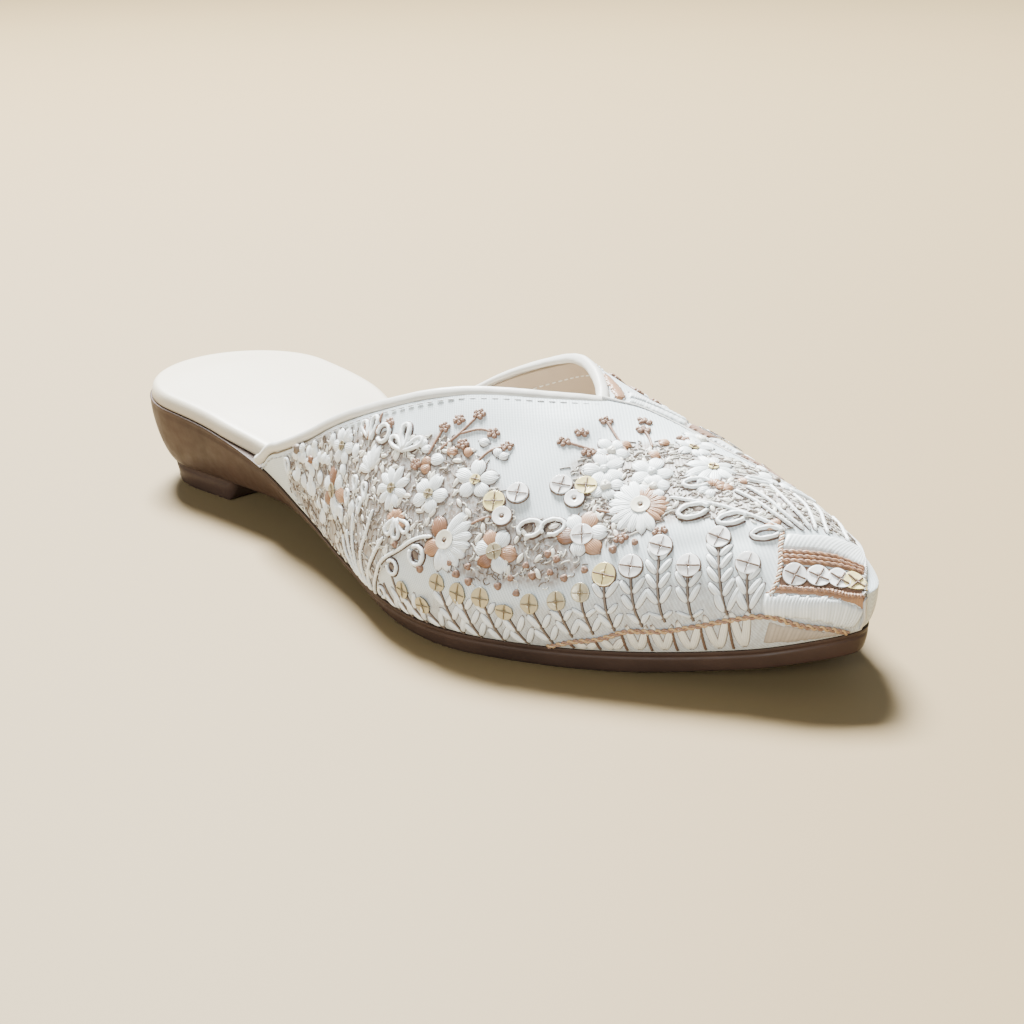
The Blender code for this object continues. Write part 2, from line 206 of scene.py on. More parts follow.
@dataclass
class Last:
    """The form the shoe is built on: its outline, its upper's face and its edges."""

    ball_width: float = 84.0
    throat: float = 174.0
    waist_end: float = 70.0
    heel_round: float = 27.0
    toe_round: float = 14.0
    gap: float = 0.3
    upper_inset: float = 0.4
    shoulder: float = 0.78
    tuck_angle: float = 1.25
    dome_power: float = 1.6
    toe_dome: float = 22.4
    toe_dome_power: float = 2.4
    throat_round: float = 0.08
    panel_lift: float = 0.55
    panel_blend: float = 0.018
    girth: float = 70.0
    chart_start: float = 60.0
    chart_height: float = 170.0
    chart_step: float = 0.5
    edge_step: float = 0.02
    length: float = field(init=False)
    shift: Array = field(init=False)

    def __post_init__(self) -> None:
        """Take the length and the place in the row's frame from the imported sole."""
        low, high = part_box("sole_unit")
        self.length = (high.x - low.x) / MM
        widest = self.outline(np.linspace(0.0, self.length, 400), -1).min()
        self.shift = np.array([low.x / MM, low.y / MM - widest, 0.0])
        self.chart_along = np.arange(self.chart_start, self.tip - 0.5, 1.0)
        around = np.linspace(-1.0, 1.0, 401)
        face = self.surface(self.station(self.chart_along)[:, None], around[None, :], 0.0)
        steps = np.linalg.norm(np.diff(face, axis=1), axis=-1)
        heights = np.concatenate([np.zeros((len(face), 1)), np.cumsum(steps, axis=1)], axis=1)
        self.chart_up = np.arange(0.0, self.chart_height, self.chart_step)
        self.chart = np.array([np.interp(self.chart_up, row, around) for row in heights])
        self.make_bed()

    def make_bed(self) -> None:
        """Work out the cloth's face and slopes on a close grid, for trim to be laid on."""
        self.bed_along = np.arange(self.chart_start, self.tip - 0.4, 0.5)
        self.bed_around = np.linspace(-0.999, 0.999, 801)
        face = self.cloth(self.bed_along[:, None], self.bed_around[None, :])
        slope_along = np.gradient(face, self.bed_along, axis=0)
        slope_around = np.gradient(face, self.bed_around, axis=1)
        self.bed = np.concatenate([face, slope_along, slope_around], axis=-1)

    def around(self, along: Array, up: Array) -> Array:
        """Place around the upper of a height measured over the cloth from the lateral feather.

        Args:
            along: Distances along the foot.
            up: Heights over the cloth.

        Returns:
            Places around the upper.
        """
        x = np.asarray(along, float) - self.chart_along[0]
        y = np.asarray(up, float) / self.chart_step
        return bilinear(self.chart[..., None], x, y)[..., 0]

    def to_row(self, points: Array) -> Array:
        """Points of the last in the row's frame, in metres."""
        return (points + self.shift) * MM

    def station(self, along: Array) -> Array:
        """Station of a distance along the foot, which runs round the toe's arc.

        Args:
            along: Distances along the foot.

        Returns:
            The stations.
        """
        bend = self.length - self.toe_round
        angle = np.clip((np.asarray(along, float) - bend) / self.toe_round, 0.0, math.pi / 2)
        return np.minimum(along, bend) + self.toe_round * np.sin(angle)

    @property
    def tip(self) -> float:
        """Distance along the foot at which the toe's arc ends."""
        return self.length - self.toe_round + self.toe_round * math.pi / 2

    def sole(self, name: str, station: Array) -> Array:
        """A named curve of the sole at a station."""
        return SOLE.read(name, np.asarray(station, float) / self.length)

    def vamp(self, name: str, station: Array) -> Array:
        """A named curve of the upper at a station."""
        return UPPER.read(name, np.asarray(station, float) / self.length)

    def end_rounding(self, station: Array) -> Array:
        """Share of the half width left by the round heel and the round toe.

        Args:
            station: Stations along the sole.

        Returns:
            Shares from 0 to 1.
        """
        heel = np.clip((self.heel_round - station) / self.heel_round, 0.0, 1.0)
        toe = np.clip((station - self.length + self.toe_round) / self.toe_round, 0.0, 1.0)
        return np.sqrt(np.clip(1.0 - heel**2, 0.0, 1.0) * np.clip(1.0 - toe**2, 0.0, 1.0))

    def outline(self, station: Array, side: float | Array) -> Array:
        """Distance across of the feather edge; side is -1 for lateral and +1 for medial."""
        half_width = self.sole("width", station) * self.ball_width / 2
        return self.sole("lean", station) + side * half_width * self.end_rounding(station)

    def outward(self, station: Array, side: float | Array) -> Array:
        """Plan direction square to the feather edge, pointing away from the foot.

        Args:
            station: Stations along the sole.
            side: -1 for lateral and +1 for medial.

        Returns:
            Unit directions, with x and y on the last axis.
        """
        before = np.clip(station - self.edge_step, 0.0, self.length)
        after = np.clip(station + self.edge_step, 0.0, self.length)
        across = self.outline(after, side) - self.outline(before, side)
        direction = unit(np.stack([-across * side, (after - before) * side], axis=-1))
        direction[station <= 0.0] = (-1.0, 0.0)
        direction[station >= self.length] = (1.0, 0.0)
        return direction

    def edge_points(self, station: Array, side: float | Array, inset: Array, height: Array) -> Array:
        """Find points set in from the feather edge.

        Args:
            station: Stations of the edge.
            side: -1 for the lateral edge and +1 for the medial one.
            inset: How far in from the edge, square to it.
            height: Height above the floor.

        Returns:
            The points, with x, y and z on the last axis.
        """
        station = np.asarray(station, float)
        away = self.outward(station, side)
        x = station - away[..., 0] * inset
        y = self.outline(station, side) - away[..., 1] * inset
        return np.stack([x, y, np.broadcast_to(height, x.shape)], axis=-1)

    def surface(self, station: Array, around: Array, lift: float | Array) -> Array:
        """Find points of the upper's plain form.

        Args:
            station: Stations of the points.
            around: Places around the upper, from -1 to +1.
            lift: How far out of the outer face the points lie; the lining is below 0.

        Returns:
            The points, with x, y and z on the last axis.
        """
        station, around = np.broadcast_arrays(np.asarray(station, float), np.asarray(around, float))
        feather = self.sole("feather", station)
        swell = self.vamp("swell", station)
        widest = feather + self.vamp("swell_height", station)
        reach = swell + lift - self.upper_inset
        lateral = self.edge_points(station, -1, -reach, 0.0)[..., :2]
        medial = self.edge_points(station, 1, -reach, 0.0)[..., :2]

        angle = np.clip(np.abs(around) / self.shoulder, 0.0, 1.0) * math.pi / 2
        spread = np.sign(around) * np.sin(angle) ** (2 / self.dome_power)
        toe = np.clip((station - self.length + self.toe_dome) / self.toe_dome, 0.0, 1.0)
        closing = np.sqrt(np.clip(1.0 - toe**self.toe_dome_power, 0.0, 1.0))
        rise = (self.vamp("crown", station) + lift - widest) * closing
        plan = (lateral + medial) / 2 + (medial - lateral) / 2 * spread[..., None]
        top = widest + rise * np.clip(np.cos(angle), 0.0, 1.0) ** (2 / self.dome_power)
        dome = np.concatenate([plan, top[..., None]], axis=-1)

        side = np.where(around < 0, -1.0, 1.0)
        under = np.clip((np.abs(around) - self.shoulder) / (1.0 - self.shoulder), 0.0, 1.0)
        tuck = under * self.tuck_angle
        share = (np.cos(tuck) - math.cos(self.tuck_angle)) / (1.0 - math.cos(self.tuck_angle))
        inset = self.upper_inset - lift - swell * share
        foot = feather + self.gap
        height = widest - (widest - foot) * np.sin(tuck) / math.sin(self.tuck_angle)
        wall = self.edge_points(station, side, inset, height)
        return np.where((np.abs(around) <= self.shoulder)[..., None], dome, wall)

    def panel_edge(self, along: Array) -> Array:
        """Place around the upper of the lateral panel's front edge."""
        return PANEL.read("around", along)

    def relief(self, along: Array, around: Array) -> Array:
        """Height of the cloth above the plain form: creases, and the panel that lies on top.

        Args:
            along: Distances along the foot.
            around: Places around the upper.

        Returns:
            The heights.
        """
        over = ease((self.panel_edge(along) - around) / self.panel_blend)
        height = self.panel_lift * over * ease((along - 160.0) / 12.0)
        for first, last, width, depth in CREASES:
            start = np.array([first[0], first[1] * self.girth])
            run = np.array([last[0], last[1] * self.girth]) - start
            x = along - start[0]
            y = around * self.girth - start[1]
            share = np.clip((x * run[0] + y * run[1]) / (run @ run), 0.0, 1.0)
            apart = (x - share * run[0]) ** 2 + (y - share * run[1]) ** 2
            height = height - depth * np.exp(-apart / width**2)
        return height

    def cloth(self, along: Array, around: Array) -> Array:
        """Points on the cloth's outer face."""
        return self.surface(self.station(along), around, self.relief(along, around))

    def laid(self, along: Array, around: Array) -> tuple[Array, Array, Array, Array]:
        """Find where things lie on the cloth.

        Args:
            along: Distances along the foot.
            around: Places around the upper.

        Returns:
            The points, the outward normals, and the cloth's slopes along and around.
        """
        x = (np.asarray(along, float) - self.bed_along[0]) / (self.bed_along[1] - self.bed_along[0])
        y = (np.asarray(around, float) - self.bed_around[0]) / (self.bed_around[1] - self.bed_around[0])
        found = bilinear(self.bed, x, y)
        point, slope_along, slope_around = found[..., :3], found[..., 3:6], found[..., 6:]
        return point, unit(np.cross(slope_along, slope_around)), slope_along, slope_around

    def up(self, along: Array, around: Array) -> Array:
        """Height over the cloth from the lateral feather of a place around the upper.

        Args:
            along: Distances along the foot.
            around: Places around the upper.

        Returns:
            The heights.
        """
        along, around = np.broadcast_arrays(np.asarray(along, float), np.asarray(around, float))
        place = np.clip(along - self.chart_along[0], 0.0, len(self.chart_along) - 1.001)
        row = place.astype(int)
        heights = np.empty(along.shape)
        for index in np.unique(row):
            these = row == index
            low = np.interp(around[these], self.chart[index], self.chart_up)
            high = np.interp(around[these], self.chart[index + 1], self.chart_up)
            heights[these] = low + (high - low) * (place[these] - index)
        return heights

    def holds(self, along: Array, around: Array, margin: float = 0.8) -> Array:
        """Whether places lie on the cloth, a margin inside its edges."""
        clear = self.station(along) > self.topline(around) + margin
        return clear & (np.abs(around) < 0.985)

    def spread(self, place: Place, turn: float, x: Array, y: Array) -> tuple[Array, Array]:
        """Lay a small flat pattern on the upper.

        Args:
            place: Where the pattern's origin goes, along and around.
            turn: Degrees from toe-ward to the pattern's own +x, positive towards the crown.
            x: Pattern distances in millimetres.
            y: Pattern distances in millimetres, to the left of +x.

        Returns:
            The places of the pattern's points, along and around.
        """
        _, _, slope_along, slope_around = self.laid(np.array(place[0]), np.array(place[1]))
        angle = math.radians(turn)
        ahead = x * math.cos(angle) - y * math.sin(angle)
        up = x * math.sin(angle) + y * math.cos(angle)
        first = unit(slope_along)
        lean = float(slope_around @ first)
        rest = float(np.linalg.norm(slope_around - lean * first))
        around = up / rest
        along = (ahead - around * lean) / float(np.linalg.norm(slope_along))
        return place[0] + along, place[1] + around

    def topline(self, around: Array) -> Array:
        """Station of the upper's free edge, with the throat's corner rounded."""
        reach = TOPLINE.read("reach", np.minimum(np.hypot(around, self.throat_round), 1.0))
        return self.waist_end + (self.throat - self.waist_end) * reach

    def topline_frame(self, around: Array, depth: float) -> tuple[Array, Array, Array]:
        """Find the upper's free edge.

        Args:
            around: Places around the upper.
            depth: How far below the outer face the edge is taken.

        Returns:
            Points of the edge, the directions off its face, and those past its edge.
        """
        reach = 0.004
        middle = self.surface(self.topline(around), around, -depth)
        before = self.surface(self.topline(around - reach), around - reach, -depth)
        after = self.surface(self.topline(around + reach), around + reach, -depth)
        toward_toe = self.surface(self.topline(around) + 0.5, around, -depth) - middle
        run = unit(after - before)
        normal = unit(np.cross(toward_toe, run))
        past = np.cross(normal, run)
        past *= -np.sign(np.sum(past * toward_toe, axis=-1, keepdims=True))
        return middle, normal, past


# ---------- finishes


class NodeBoard:
    """A new material's node tree, with short ways to wire it."""

    def __init__(self, name: str) -> None:
        """Start a Principled material of that name.

        Args:
            name: The material's name.
        """
        self.material = bpy.data.materials.new(name)
        self.material.use_nodes = True
        self.tree = self.material.node_tree
        self.shader = self.tree.nodes["Principled BSDF"]

    def node(self, kind: str, settings: dict | None = None, **sockets: object) -> bpy.types.Node:
        """Add a node.

        Args:
            kind: The node's type, without the word ShaderNode.
            settings: Values for the node's own options.
            **sockets: Inputs by name, with spaces written as _; a socket is linked.

        Returns:
            The node.
        """
        node = self.tree.nodes.new("ShaderNode" + kind)
        for name, value in (settings or {}).items():
            setattr(node, name, value)
        for name, value in sockets.items():
            numbered = name[0] == "i" and name[1:].isdigit()
            self.feed(node.inputs[int(name[1:]) if numbered else name.replace("_", " ")], value)
        return node

    def feed(self, target: Socket, value: object) -> None:
        """Link a socket to an input, or set the input's own value.

        Args:
            target: The input.
            value: A socket to link, or a number, a vector or a colour.
        """
        if isinstance(value, Socket):
            self.tree.links.new(value, target)
        elif isinstance(value, tuple) and len(value) == 3 and target.type == "RGBA":
            target.default_value = (*value, 1.0)
        else:
            target.default_value = value

    def set(self, **sockets: object) -> None:
        """Set or link inputs of the material's shader."""
        for name, value in sockets.items():
            self.feed(self.shader.inputs[name.replace("_", " ")], value)

    def math(self, operation: str, first: object, second: object = 0.0) -> Socket:
        """The result of a Math node."""
        return self.node("Math", {"operation": operation}, i0=first, i1=second).outputs[0]

    def noise(self, size: float, detail: float = 3.0, stretch: Colour = (1, 1, 1)) -> Socket:
        """Noise with lumps of about a size in millimetres, fixed to the object.

        Args:
            size: Size of the lumps.
            detail: How many finer layers it has.
            stretch: Scale along each axis.

        Returns:
            A socket that runs from 0 to 1.
        """
        place = self.node("TexCoord").outputs["Object"]
        scaled = self.node("Mapping", None, Vector=place, Scale=stretch).outputs[0]
        noise = self.node("TexNoise", None, Vector=scaled, Scale=1.0 / (size * MM), Detail=detail)
        return noise.outputs["Fac"]

    def span(
        self, value: object, low: float, high: float, to_low: float = 0.0, to_high: float = 1.0
    ) -> Socket:
        """A value carried from one range to another, and held at its ends."""
        ends = {"From_Min": low, "From_Max": high, "To_Min": to_low, "To_Max": to_high}
        return self.node("MapRange", None, Value=value, **ends).outputs[0]

    def blend(self, share: object, first: object, second: object) -> Socket:
        """A mix of two colours.

        Args:
            share: Share of the second.
            first: A colour or a socket.
            second: A colour or a socket.

        Returns:
            The mixed colour's socket.
        """
        node = self.node("Mix", {"data_type": "RGBA"})
        self.feed(node.inputs[0], share)
        self.feed(node.inputs[6], first)
        self.feed(node.inputs[7], second)
        return node.outputs[2]

    def tones(self, share: object, colour: Colour, low: float, high: float) -> Socket:
        """A mix of a darker and a lighter tone of a colour."""
        return self.blend(share, shade(colour, low), shade(colour, high))

    def mark(self, name: str) -> Socket:
        """A mark that the mesh carries at each point."""
        return self.node("Attribute", {"attribute_name": name}).outputs["Fac"]

    def bump(self, height: object, depth: float, strength: float = 1.0) -> None:
        """Give the shader a bump of a depth in millimetres."""
        node = self.node("Bump", None, Height=height, Distance=depth * MM, Strength=strength)
        self.set(Normal=node.outputs[0])


def shade(colour: Colour, amount: float) -> Colour:
    """The colour made lighter or darker."""
    return (min(colour[0] * amount, 1.0), min(colour[1] * amount, 1.0), min(colour[2] * amount, 1.0))


@dataclass(frozen=True)
class Look:
    """What every finish has: a name, a main colour, and a way to become a material."""

    name: str
    colour: Colour

    @cache
    def build(self) -> bpy.types.Material:
        """Make the finish's material, the first time that it is asked for.

        Returns:
            The material.
        """
        board = NodeBoard(self.name)
        self.dress(board)
        return board.material

    def dress(self, board: NodeBoard) -> None:
        """Wire the finish's nodes."""
        raise NotImplementedError


@dataclass(frozen=True)
class MouldedRubber(Look):
    """Warm brown moulded rubber: fine mould grain, a slight sheen and paler patches."""

    roughness: float = 0.46

    def dress(self, board: NodeBoard) -> None:
        """Wire the patches, the sheen and the grain.

        Args:
            board: The material's nodes.
        """
        patches = board.span(board.noise(14.0, 4.0), 0.35, 0.65)
        colour = board.tones(patches, self.colour, 0.86, 1.12)
        board.set(Base_Color=colour, Specular_IOR_Level=0.16)
        low, high = self.roughness - 0.06, self.roughness + 0.10
        board.set(Roughness=board.span(board.noise(3.0), 0.3, 0.7, low, high))
        board.bump(board.noise(0.35, 2.0), 0.03, 0.5)


@dataclass(frozen=True)
class Leatherette(Look):
    """Coated cloth with a fine pebble grain and a soft sheen."""

    grain: float = 0.45
    depth: float = 0.035
    roughness: float = 0.48

    def dress(self, board: NodeBoard) -> None:
        """Wire the wear, the thin coat and the pebble grain.

        Args:
            board: The material's nodes.
        """
        wear = board.span(board.noise(22.0, 4.0), 0.3, 0.7)
        colour = board.tones(wear, self.colour, 0.955, 1.03)
        board.set(Base_Color=colour, Specular_IOR_Level=0.42)
        board.set(Coat_Weight=0.06, Coat_Roughness=0.35)
        board.set(Roughness=board.span(wear, 0.0, 1.0, self.roughness + 0.05, self.roughness - 0.05))
        place = board.node("TexCoord").outputs["Object"]
        scale = 1.0 / (self.grain * MM)
        cells = board.node("TexVoronoi", {"feature": "SMOOTH_F1"}, Vector=place, Scale=scale)
        height = board.math("ADD", cells.outputs["Distance"], board.noise(2.4))
        board.bump(height, self.depth, 0.6)


@dataclass(frozen=True)
class NetOverSatin(Look):
    """Ribbed white net over satin, with painted shade in its valleys, tinted where close thread work covers
    it and by painted shade low along the feather edge.
    """

    valley_shade: Colour
    stitch_tint_and_shade: Colour
    rib: float = 0.52
    cross_rib: float = 0.46
    bias: float = -0.58

    def dress(self, board: NodeBoard) -> None:
        """Wire the ribs, the painted shade in their valleys, and the marked tint of thread work and of
        painted shade.

        Args:
            board: The material's nodes.
        """
        chart = board.node("UVMap", {"uv_map": "UVMap"}).outputs[0]
        turned = board.node("VectorRotate", {"rotation_type": "Z_AXIS"}, Vector=chart, Angle=self.bias)
        split = board.node("SeparateXYZ", None, Vector=turned.outputs[0])
        wobble = board.math("MULTIPLY", board.noise(5.0), 0.9)
        ribs = self.wave(board, split.outputs[0], self.rib, wobble)
        cross = self.wave(board, split.outputs[1], self.cross_rib, wobble)
        weave = board.math("ADD", board.math("MULTIPLY", ribs, 0.66), board.math("MULTIPLY", cross, 0.34))
        slub = board.span(board.noise(1.4, 2.0), 0.3, 0.7, 0.75, 1.0)
        raised = board.math("MULTIPLY", weave, slub)
        # Painted shade: the colour darkens in the weave's valleys, where the bump sinks.
        colour = board.blend(board.span(raised, 0.15, 0.65), self.valley_shade, self.colour)
        # The mark tints the cloth with the stitching's colour where close thread work covers it, and with
        # painted shade low along the feather edge.
        sewn = board.mark("sewn")
        hatch = board.span(board.noise(0.7, 2.0, (1.0, 1.0, 0.4)), 0.40, 0.62, 0.60, 1.0)
        colour = board.blend(board.math("MULTIPLY", sewn, hatch), colour, self.stitch_tint_and_shade)
        board.set(Base_Color=colour, Roughness=0.46, Sheen_Weight=0.25, Sheen_Roughness=0.4)
        board.set(Specular_IOR_Level=0.5)
        board.bump(raised, 0.045, 0.7)

    def wave(self, board: NodeBoard, chart: object, pitch: float, wobble: object) -> object:
        """Ribs from 0 to 1 across one direction of the pattern, at a pitch in millimetres.

        Args:
            board: The material's nodes.
            chart: Distance across the ribs.
            pitch: From one rib to the next.
            wobble: How far the ribs wander.

        Returns:
            The ribs' socket.
        """
        turns = board.math("MULTIPLY", chart, 2 * math.pi * CHART_SIZE / pitch)
        wave = board.math("SINE", board.math("ADD", turns, wobble))
        return board.span(wave, -1.0, 1.0)


@dataclass(frozen=True)
class SatinThread(Look):
    """Embroidery thread: its own tone for each stitch under painted shade, and a dark line of painted shade
    where it meets the cloth.
    """

    # The dark colour of the painted shade at each stitch's foot, where it meets the cloth.
    rim: Colour
    roughness: float = 0.40
    sheen: float = 0.25

    def dress(self, board: NodeBoard) -> None:
        """Wire each stitch's tone with its painted shade, its dark foot of painted shade, and its sheen.

        Args:
            board: The material's nodes.
        """
        # The tone mark holds painted shade and each thread's own tone: darker at a stitch's sides, in its
        # furrows and at its foot; the noise is the thread's own mottle.
        tone = board.mark("tone")
        lit = board.span(tone, 0.55, 1.0)
        shade_and_mottle = board.math("MULTIPLY", lit, board.span(board.noise(0.9, 3.0), 0.3, 0.7, 0.72, 1.0))
        thread = board.tones(shade_and_mottle, self.colour, 0.72, 1.08)
        colour = board.blend(board.span(tone, 0.02, 0.42), self.rim, thread)
        board.set(Base_Color=colour, Roughness=self.roughness, Specular_IOR_Level=0.5)
        board.set(Sheen_Weight=self.sheen, Sheen_Roughness=0.35)
        board.bump(board.noise(0.22, 2.0), 0.03, 0.5)


@dataclass(frozen=True)
class SequinFoil(Look):
    """Thin coated plastic disc with a pearly or metallic face."""

    metal: float
    roughness: float = 0.22
    # Painted light: an emission that stands in for light glinting off the disc.
    painted_glow: float = 0.0

    def dress(self, board: NodeBoard) -> None:
        """Wire the mottle, the dark edge of painted shade, the coat and the painted glow.

        Args:
            board: The material's nodes.
        """
        tone = board.mark("tone")
        mottle = board.tones(board.noise(1.1), self.colour, 0.88, 1.12)
        # Painted shade: where the tone mark is low, at the rim, the disc darkens to a third of its colour.
        colour = board.blend(board.span(tone, 0.05, 0.5), shade(self.colour, 0.30), mottle)
        board.set(Base_Color=colour, Metallic=self.metal, Roughness=self.roughness)
        board.set(Coat_Weight=0.5, Coat_Roughness=0.12)
        board.set(Emission_Color=colour, Emission_Strength=self.painted_glow)
        board.bump(board.noise(0.8), 0.02, 0.3)


@dataclass(frozen=True)
class StudioFloor(Look):
    """Plain pale matt floor."""

    def dress(self, board: NodeBoard) -> None:
        """Wire a slight drift of tone."""
        drift = board.tones(board.noise(160.0), self.colour, 0.98, 1.02)
        board.set(Base_Color=drift, Roughness=0.62, Specular_IOR_Level=0.3)


class Finish(Enum):
    """Every finish on the shoe."""

    SOLE = MouldedRubber("brown_moulded_sole", (0.056, 0.034, 0.026))
    FOOTBED = Leatherette("cream_footbed_cover", (0.54, 0.475, 0.375))
    BINDING = Leatherette("cream_rolled_binding", (0.64, 0.62, 0.575), 0.6, 0.03, 0.42)
    LINING = Leatherette("tan_lining", (0.42, 0.32, 0.225), 0.5, 0.03, 0.62)
    CLOTH = NetOverSatin(
        "white_net_over_satin", (0.74, 0.80, 0.82), valley_shade=(0.56, 0.62, 0.645), stitch_tint_and_shade=(0.26, 0.205, 0.17)
    )
    # Each thread's third colour is the dark foot of painted shade where it meets the cloth.
    WHITE = SatinThread("white_satin_thread", (0.90, 0.95, 0.96), (0.10, 0.06, 0.05))
    CREAM = SatinThread("cream_cord_thread", (0.82, 0.79, 0.70), (0.14, 0.09, 0.07))
    PEACH = SatinThread("peach_thread", (0.42, 0.225, 0.125), (0.12, 0.06, 0.03))
    RUST = SatinThread("rust_thread", (0.24, 0.11, 0.055), (0.08, 0.04, 0.02))
    TAUPE = SatinThread("taupe_thread", (0.19, 0.14, 0.105), (0.08, 0.05, 0.04), 0.5, 0.2)
    ROSE = SatinThread("rose_brown_thread", (0.29, 0.165, 0.11), (0.10, 0.05, 0.04), 0.5, 0.2)
    BROWN = SatinThread("brown_couching_thread", (0.15, 0.09, 0.06), (0.06, 0.04, 0.03), 0.5, 0.1)
    GOLD_THREAD = SatinThread("gold_braid_thread", (0.50, 0.32, 0.16), (0.14, 0.08, 0.05), 0.35, 0.1)
    OLIVE = SatinThread("olive_couching_thread", (0.22, 0.16, 0.09), (0.12, 0.09, 0.05), 0.5, 0.1)
    # Cream thread darkened to tan: painted shade for the toe strip under the braid.
    TAN = SatinThread("tan_thread", (0.46, 0.39, 0.32), (0.14, 0.09, 0.07), 0.5, 0.1)
    GREY = SatinThread("grey_lockstitch_thread", (0.46, 0.46, 0.47), (0.12, 0.11, 0.11), 0.5, 0.1)
    KHAKI_DISC = SequinFoil("khaki_sequin", (0.50, 0.43, 0.27), 0.2, 0.36)
    GOLD_DISC = SequinFoil("pale_gold_sequin", (0.96, 0.78, 0.36), 0.10, 0.22, 0.22)
    PEARL_DISC = SequinFoil("pearl_sequin", (0.97, 0.96, 0.94), 0.0, 0.22, 0.30)
    CREAM_DISC = SequinFoil("cream_sequin", (0.92, 0.86, 0.72), 0.0, 0.22, 0.06)
    FLOOR = StudioFloor("pale_floor", (0.235, 0.168, 0.082))


# ---------- meshes

CHART_SIZE = 260.0


@dataclass
class Sheets:
    """Points and four-cornered faces that become one mesh."""

    points: list[Array] = field(default_factory=list)
    faces: list[Array] = field(default_factory=list)
    tones: list[Array] = field(default_factory=list)
    count: int = 0

    def add(self, points: Array, faces: Array, tone: Array | float = 1.0) -> None:
        """Add points, and faces that number them from 0.

        Args:
            points: The points, with x, y and z on the last axis.
            faces: Point numbers of each face.
            tone: How light each point is, from 0 to 1.
        """
        points = points.reshape(-1, 3)
        self.points.append(points)
        self.faces.append(faces + self.count)
        self.tones.append(np.broadcast_to(np.asarray(tone, float).reshape(-1), (len(points),)))
        self.count += len(points)

    def tube(self, rings: Array, tone: float = 1.0) -> None:
        """Add a closed tube whose rings have an even number of points.

        Args:
            rings: Its rings of points, in order.
            tone: How light its wall is, from 0 to 1.
        """
        self.add(rings, grid_faces(*rings.shape[:2], wrap=True), tone)
        lid = end_faces(rings.shape[1])
        self.add(rings[0], lid[:, ::-1])
        self.add(rings[-1], lid)

    def triangles(self) -> int:
        """How many triangles the faces make."""
        return 2 * sum(len(faces) for faces in self.faces)


def grid_faces(rows: int, columns: int, wrap: bool = False, flip: bool = False) -> Array:
    """Faces of a grid of points.

    Args:
        rows: Points one way.
        columns: Points the other way.
        wrap: Join the last column to the first.
        flip: Turn the faces over.

    Returns:
        Four point numbers for each face.
    """
    row = np.arange(rows - 1)[:, None] * columns
    left = np.arange(columns if wrap else columns - 1)[None, :]
    right = (left + 1) % columns
    corners = [row + left, row + right, row + columns + right, row + columns + left]
    faces = np.stack([corner.reshape(-1) for corner in corners], axis=1)
    return faces[:, ::-1] if flip else faces


def end_faces(sides: int) -> Array:
    """Faces across a tube's open end, whose points are an even number."""
    return np.array([(k, k + 1, sides - 2 - k, sides - 1 - k) for k in range(sides // 2 - 1)])


def fill_between(first: Array, second: Array, count: int) -> Array:
    """Lines of points that lead from one line of points to another."""
    share = np.linspace(0.0, 1.0, count)[:, None, None]
    return first * (1 - share) + second * share


def distances(points: Array) -> Array:
    """How far each point of a line lies from its start, measured along the line."""
    return np.concatenate([[0.0], np.cumsum(np.linalg.norm(np.diff(points, axis=0), axis=1))])


@dataclass
class Workshop:
    """What every piece needs: the last, and a way to become an object."""

    last: Last

    def piece(
        self, name: str, sheets: Sheets, finish: Finish, slot: str | None, chart: Array | None = None
    ) -> bpy.types.Object:
        """Make one piece of the shoe.

        Args:
            name: The piece's name.
            sheets: Its points, in millimetres about the last, and its faces.
            finish: Its finish.
            slot: A material slot's name; not used.
            chart: Pattern places of the points, for a finish that follows the pattern.

        Returns:
            The object, riding on the shoe's body.
        """
        points = self.last.to_row(np.concatenate(sheets.points))
        faces = np.concatenate(sheets.faces)
        mesh = bpy.data.meshes.new(name)
        mesh.vertices.add(len(points))
        mesh.vertices.foreach_set("co", points.astype(np.float32).ravel())
        mesh.loops.add(faces.size)
        mesh.loops.foreach_set("vertex_index", faces.astype(np.int32).ravel())
        mesh.polygons.add(len(faces))
        mesh.polygons.foreach_set("loop_start", np.arange(0, faces.size, 4, dtype=np.int32))
        mesh.update(calc_edges=True)
        mesh.validate()
        tone = mesh.attributes.new("tone", "FLOAT", "POINT")
        tone.data.foreach_set("value", np.concatenate(sheets.tones).astype(np.float32))
        if chart is not None:
            corners = np.empty(len(mesh.loops), np.int32)
            mesh.loops.foreach_get("vertex_index", corners)
            layer = mesh.uv_layers.new(name="UVMap")
            layer.data.foreach_set("uv", (chart[corners] / CHART_SIZE).astype(np.float32).ravel())
        mesh.materials.append(finish.value.build())
        mesh.shade_smooth()
        thing = bpy.data.objects.new(name, mesh)
        bpy.context.scene.collection.objects.link(thing)
        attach(thing, BODY)
        log.info("%s: %d triangles", name, sheets.triangles())
        return thing

    def take_off(self, needle: Needle, title: str) -> None:
        """Make a piece of each finish that a needle has worked in, under a title."""
        for finish, sheets in needle.work.items():
            self.piece(f"{title}_{finish.value.name}", sheets, finish, "embroidered_cloth")


def sweep(
    path: Array, normal: Array, width: Array, height: Array, sides: int, squareness: float = 1.0
) -> Array:
    """Carry an oval section along a path.

    Args:
        path: Points of the centre line.
        normal: Direction of the section's height at each point.
        width: Half width of the section at each point.
        height: Half height of the section at each point.
        sides: Points round the section.
        squareness: 1 for an oval, less for a squarer section.

    Returns:
        The section's points for each point of the path.
    """
    across = unit(np.cross(unit(np.gradient(path, axis=0)), normal))
    turns = (np.arange(sides) + 0.5) / sides * 2 * math.pi
    wide = np.sign(np.cos(turns)) * np.abs(np.cos(turns)) ** squareness
    high = np.sign(np.sin(turns)) * np.abs(np.sin(turns)) ** squareness
    side_step = across[:, None] * (wide[None] * np.reshape(width, (-1, 1)))[..., None]
    high_step = normal[:, None] * (high[None] * np.reshape(height, (-1, 1)))[..., None]
    return path[:, None] + side_step + high_step


# ---------- main form


